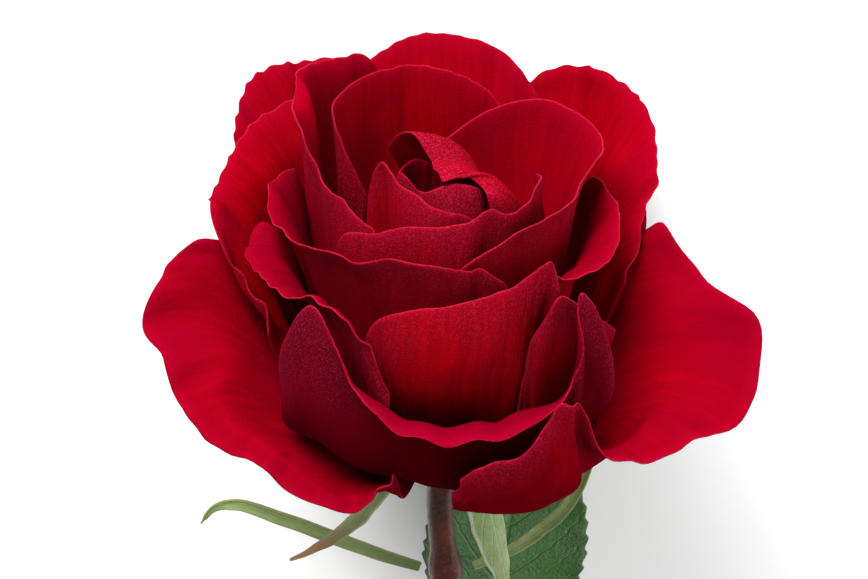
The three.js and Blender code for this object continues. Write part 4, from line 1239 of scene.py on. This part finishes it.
def blade_material(name, mottle, veins, body, light, rib, edge, edge_share, rough, ribs, tip=None):
    """edge_share: how much of the edge's colour shows. ribs: how many pairs. tip: a dry tip's colour."""
    material, board, surface = new_material(name, Roughness=rough, Specular_IOR_Level=0.45)
    detail = place_group(board, mottle, Blotch_Size=110.0, Speck_Size=1700.0, Streaks=40.0)
    lines = place_group(board, veins, Ribs=ribs)
    base = board.blend(detail["Blotch"], body, light)
    ribbed = board.blend(board.sum("MULTIPLY", lines["Rib"], 0.55), base, rib)
    middle = board.blend(board.sum("MULTIPLY", lines["Midrib"], 0.8), ribbed, rib)
    edged = board.blend(board.sum("MULTIPLY", lines["Edge"], edge_share), middle, edge)
    if tip:
        _, v, _ = board.parts(board.surface_place())
        patchy = board.spread(detail["Streak"], 0.0, 0.6, 0.6, 1.0)
        brown = board.sum("MULTIPLY", board.spread(v, 0.55, 0.85), patchy)
        edged = board.blend(brown, edged, tip)
    board.feed(surface["Base Color"], edged)
    board.feed(surface["Roughness"], board.spread(detail["Speck"], 0.0, 1.0, rough - 0.06, rough + 0.12))
    grooves = board.sum("MULTIPLY", board.sum("ADD", lines["Rib"], lines["Midrib"]), 1.6)
    bumped(board, surface, board.sum("SUBTRACT", detail["Height"], grooves), 0.5, 0.0004)
    return material


def make_flower():
    grain, mottle, veins = petal_grain(), skin_mottle(), leaf_veins()
    outside = dict(light=DEEP_RED, dark=WINE, margin=0.3, painted_sheen=0.4, sheen=0.03, vein_depth=1.6)
    inside = dict(light=SCARLET, dark=CRIMSON, margin=0.4, painted_sheen=0.0, sheen=0.02, vein_depth=0.9)
    outer = petal_material("Petal outside", grain, **outside)
    inner = petal_material("Petal inside", grain, **inside)
    make_petals([outer, inner, rim_highlight_material(grain)])

    make_hip(stem_material("Hip skin", mottle, *HIP_GREENS))
    make_stem(stem_material("Stem skin", mottle, *STEM_BROWNS))
    make_prickles(stem_material("Prickle", mottle, *PRICKLE_BROWNS))

    sepal = blade_material("Sepal", mottle, veins, *SEPAL_GREENS, edge_share=0.75, rough=0.55, ribs=5.0)
    dry = blade_material(
        "Sepal with a dry tip", mottle, veins, *DRY_GREENS, edge_share=0.5, rough=0.55, ribs=5.0, tip=DRY_TIP
    )
    make_sepals([sepal] * 3, [dry] * 3)
    bract = blade_material("Bract", mottle, veins, *BRACT_GREENS, edge_share=0.4, rough=0.5, ribs=3.0)
    make_bracts([bract] * 3)

    leaf = blade_material("Leaf", mottle, veins, *LEAF_GREENS, edge_share=0.4, rough=0.42, ribs=9.0)
    underside = blade_material(
        "Leaf underside", mottle, veins, *UNDERSIDE_GREENS, edge_share=0.4, rough=0.6, ribs=9.0
    )
    stalk = stem_material("Leaf stalk", mottle, *STALK_GREENS)
    make_leaves(stalk, [leaf, underside, leaf])


# ---- floor, light and camera ------------------------------------------------------------------------------
FLOOR_HALF = 6  # metres
FLOOR_GREY = (0.96, 0.96, 0.96, 1)
SKY_STRENGTH = 0.32
LIT_POINT = (0, 0, 35)  # in the flower's frame, where the lights look

# Each light: its name, the way from the bloom to it in the flower's frame, how far off and how wide
# it is, in metres, and its power.
LIGHTS = [
    ("key", (-0.25, -0.3, 1.0), 0.8, 0.45, 15),
    ("fill", (0.3, -1.0, 0.5), 1.2, 0.8, 4.5),
    ("side", (1.0, -0.5, 0.1), 1.0, 0.8, 5),
]
CAMERA_HEIGHT = 40  # degrees above the plane square to the flower's axis
CAMERA_AWAY = 440  # millimetres
CAMERA_TARGET = (-1.636, 12.68, 15.112)  # in the flower's frame
LENS = 100.4


def make_stage():
    floor_maker = bmesh.new()
    bmesh.ops.create_grid(floor_maker, x_segments=1, y_segments=1, size=FLOOR_HALF)
    mesh = bpy.data.meshes.new("floor")
    floor_maker.to_mesh(mesh)
    floor_maker.free()
    material, _, _ = new_material("Pale floor", Base_Color=FLOOR_GREY, Roughness=0.9)
    mesh.materials.append(material)
    floor = bpy.data.objects.new("floor", mesh)
    bpy.context.scene.collection.objects.link(floor)


def direction_in_world(vector):
    return Vector(np.asarray(vector, float) @ AXES)


def make_light(name, towards, away, size, power):
    """A round soft light that looks at the bloom."""
    data = bpy.data.lights.new(name, "AREA")
    data.shape = "DISK"
    data.size = size
    data.energy = power
    lamp = bpy.data.objects.new(name, data)
    bpy.context.scene.collection.objects.link(lamp)
    outwards = direction_in_world(towards).normalized()
    lamp.location = Vector(to_world(LIT_POINT)) + outwards * away
    lamp.rotation_euler = outwards.to_track_quat("Z", "Y").to_euler()


def make_lights():
    world = bpy.data.worlds.new("Studio")
    bpy.context.scene.world = world
    world.use_nodes = True
    background = world.node_tree.nodes["Background"]
    background.inputs["Color"].default_value = (1, 1, 1, 1)
    background.inputs["Strength"].default_value = SKY_STRENGTH
    for light in LIGHTS:
        make_light(*light)


def make_camera():
    rise = math.radians(CAMERA_HEIGHT)
    back = np.array([0, -math.cos(rise), math.sin(rise)])
    up = np.array([0, math.sin(rise), math.cos(rise)])
    data = bpy.data.cameras.new("camera")
    data.lens = LENS
    data.clip_start = 0.01
    data.clip_end = 20
    camera = bpy.data.objects.new("camera", data)
    bpy.context.scene.collection.objects.link(camera)
    axes = Matrix([direction_in_world(a) for a in ((1, 0, 0), up, back)]).transposed().to_4x4()
    axes.translation = Vector(to_world(np.array(CAMERA_TARGET) + CAMERA_AWAY * back))
    camera.matrix_world = axes
    bpy.context.scene.camera = camera


make_flower()
make_stage()
make_lights()
make_camera()
bpy.context.scene.view_settings.view_transform = "Standard"
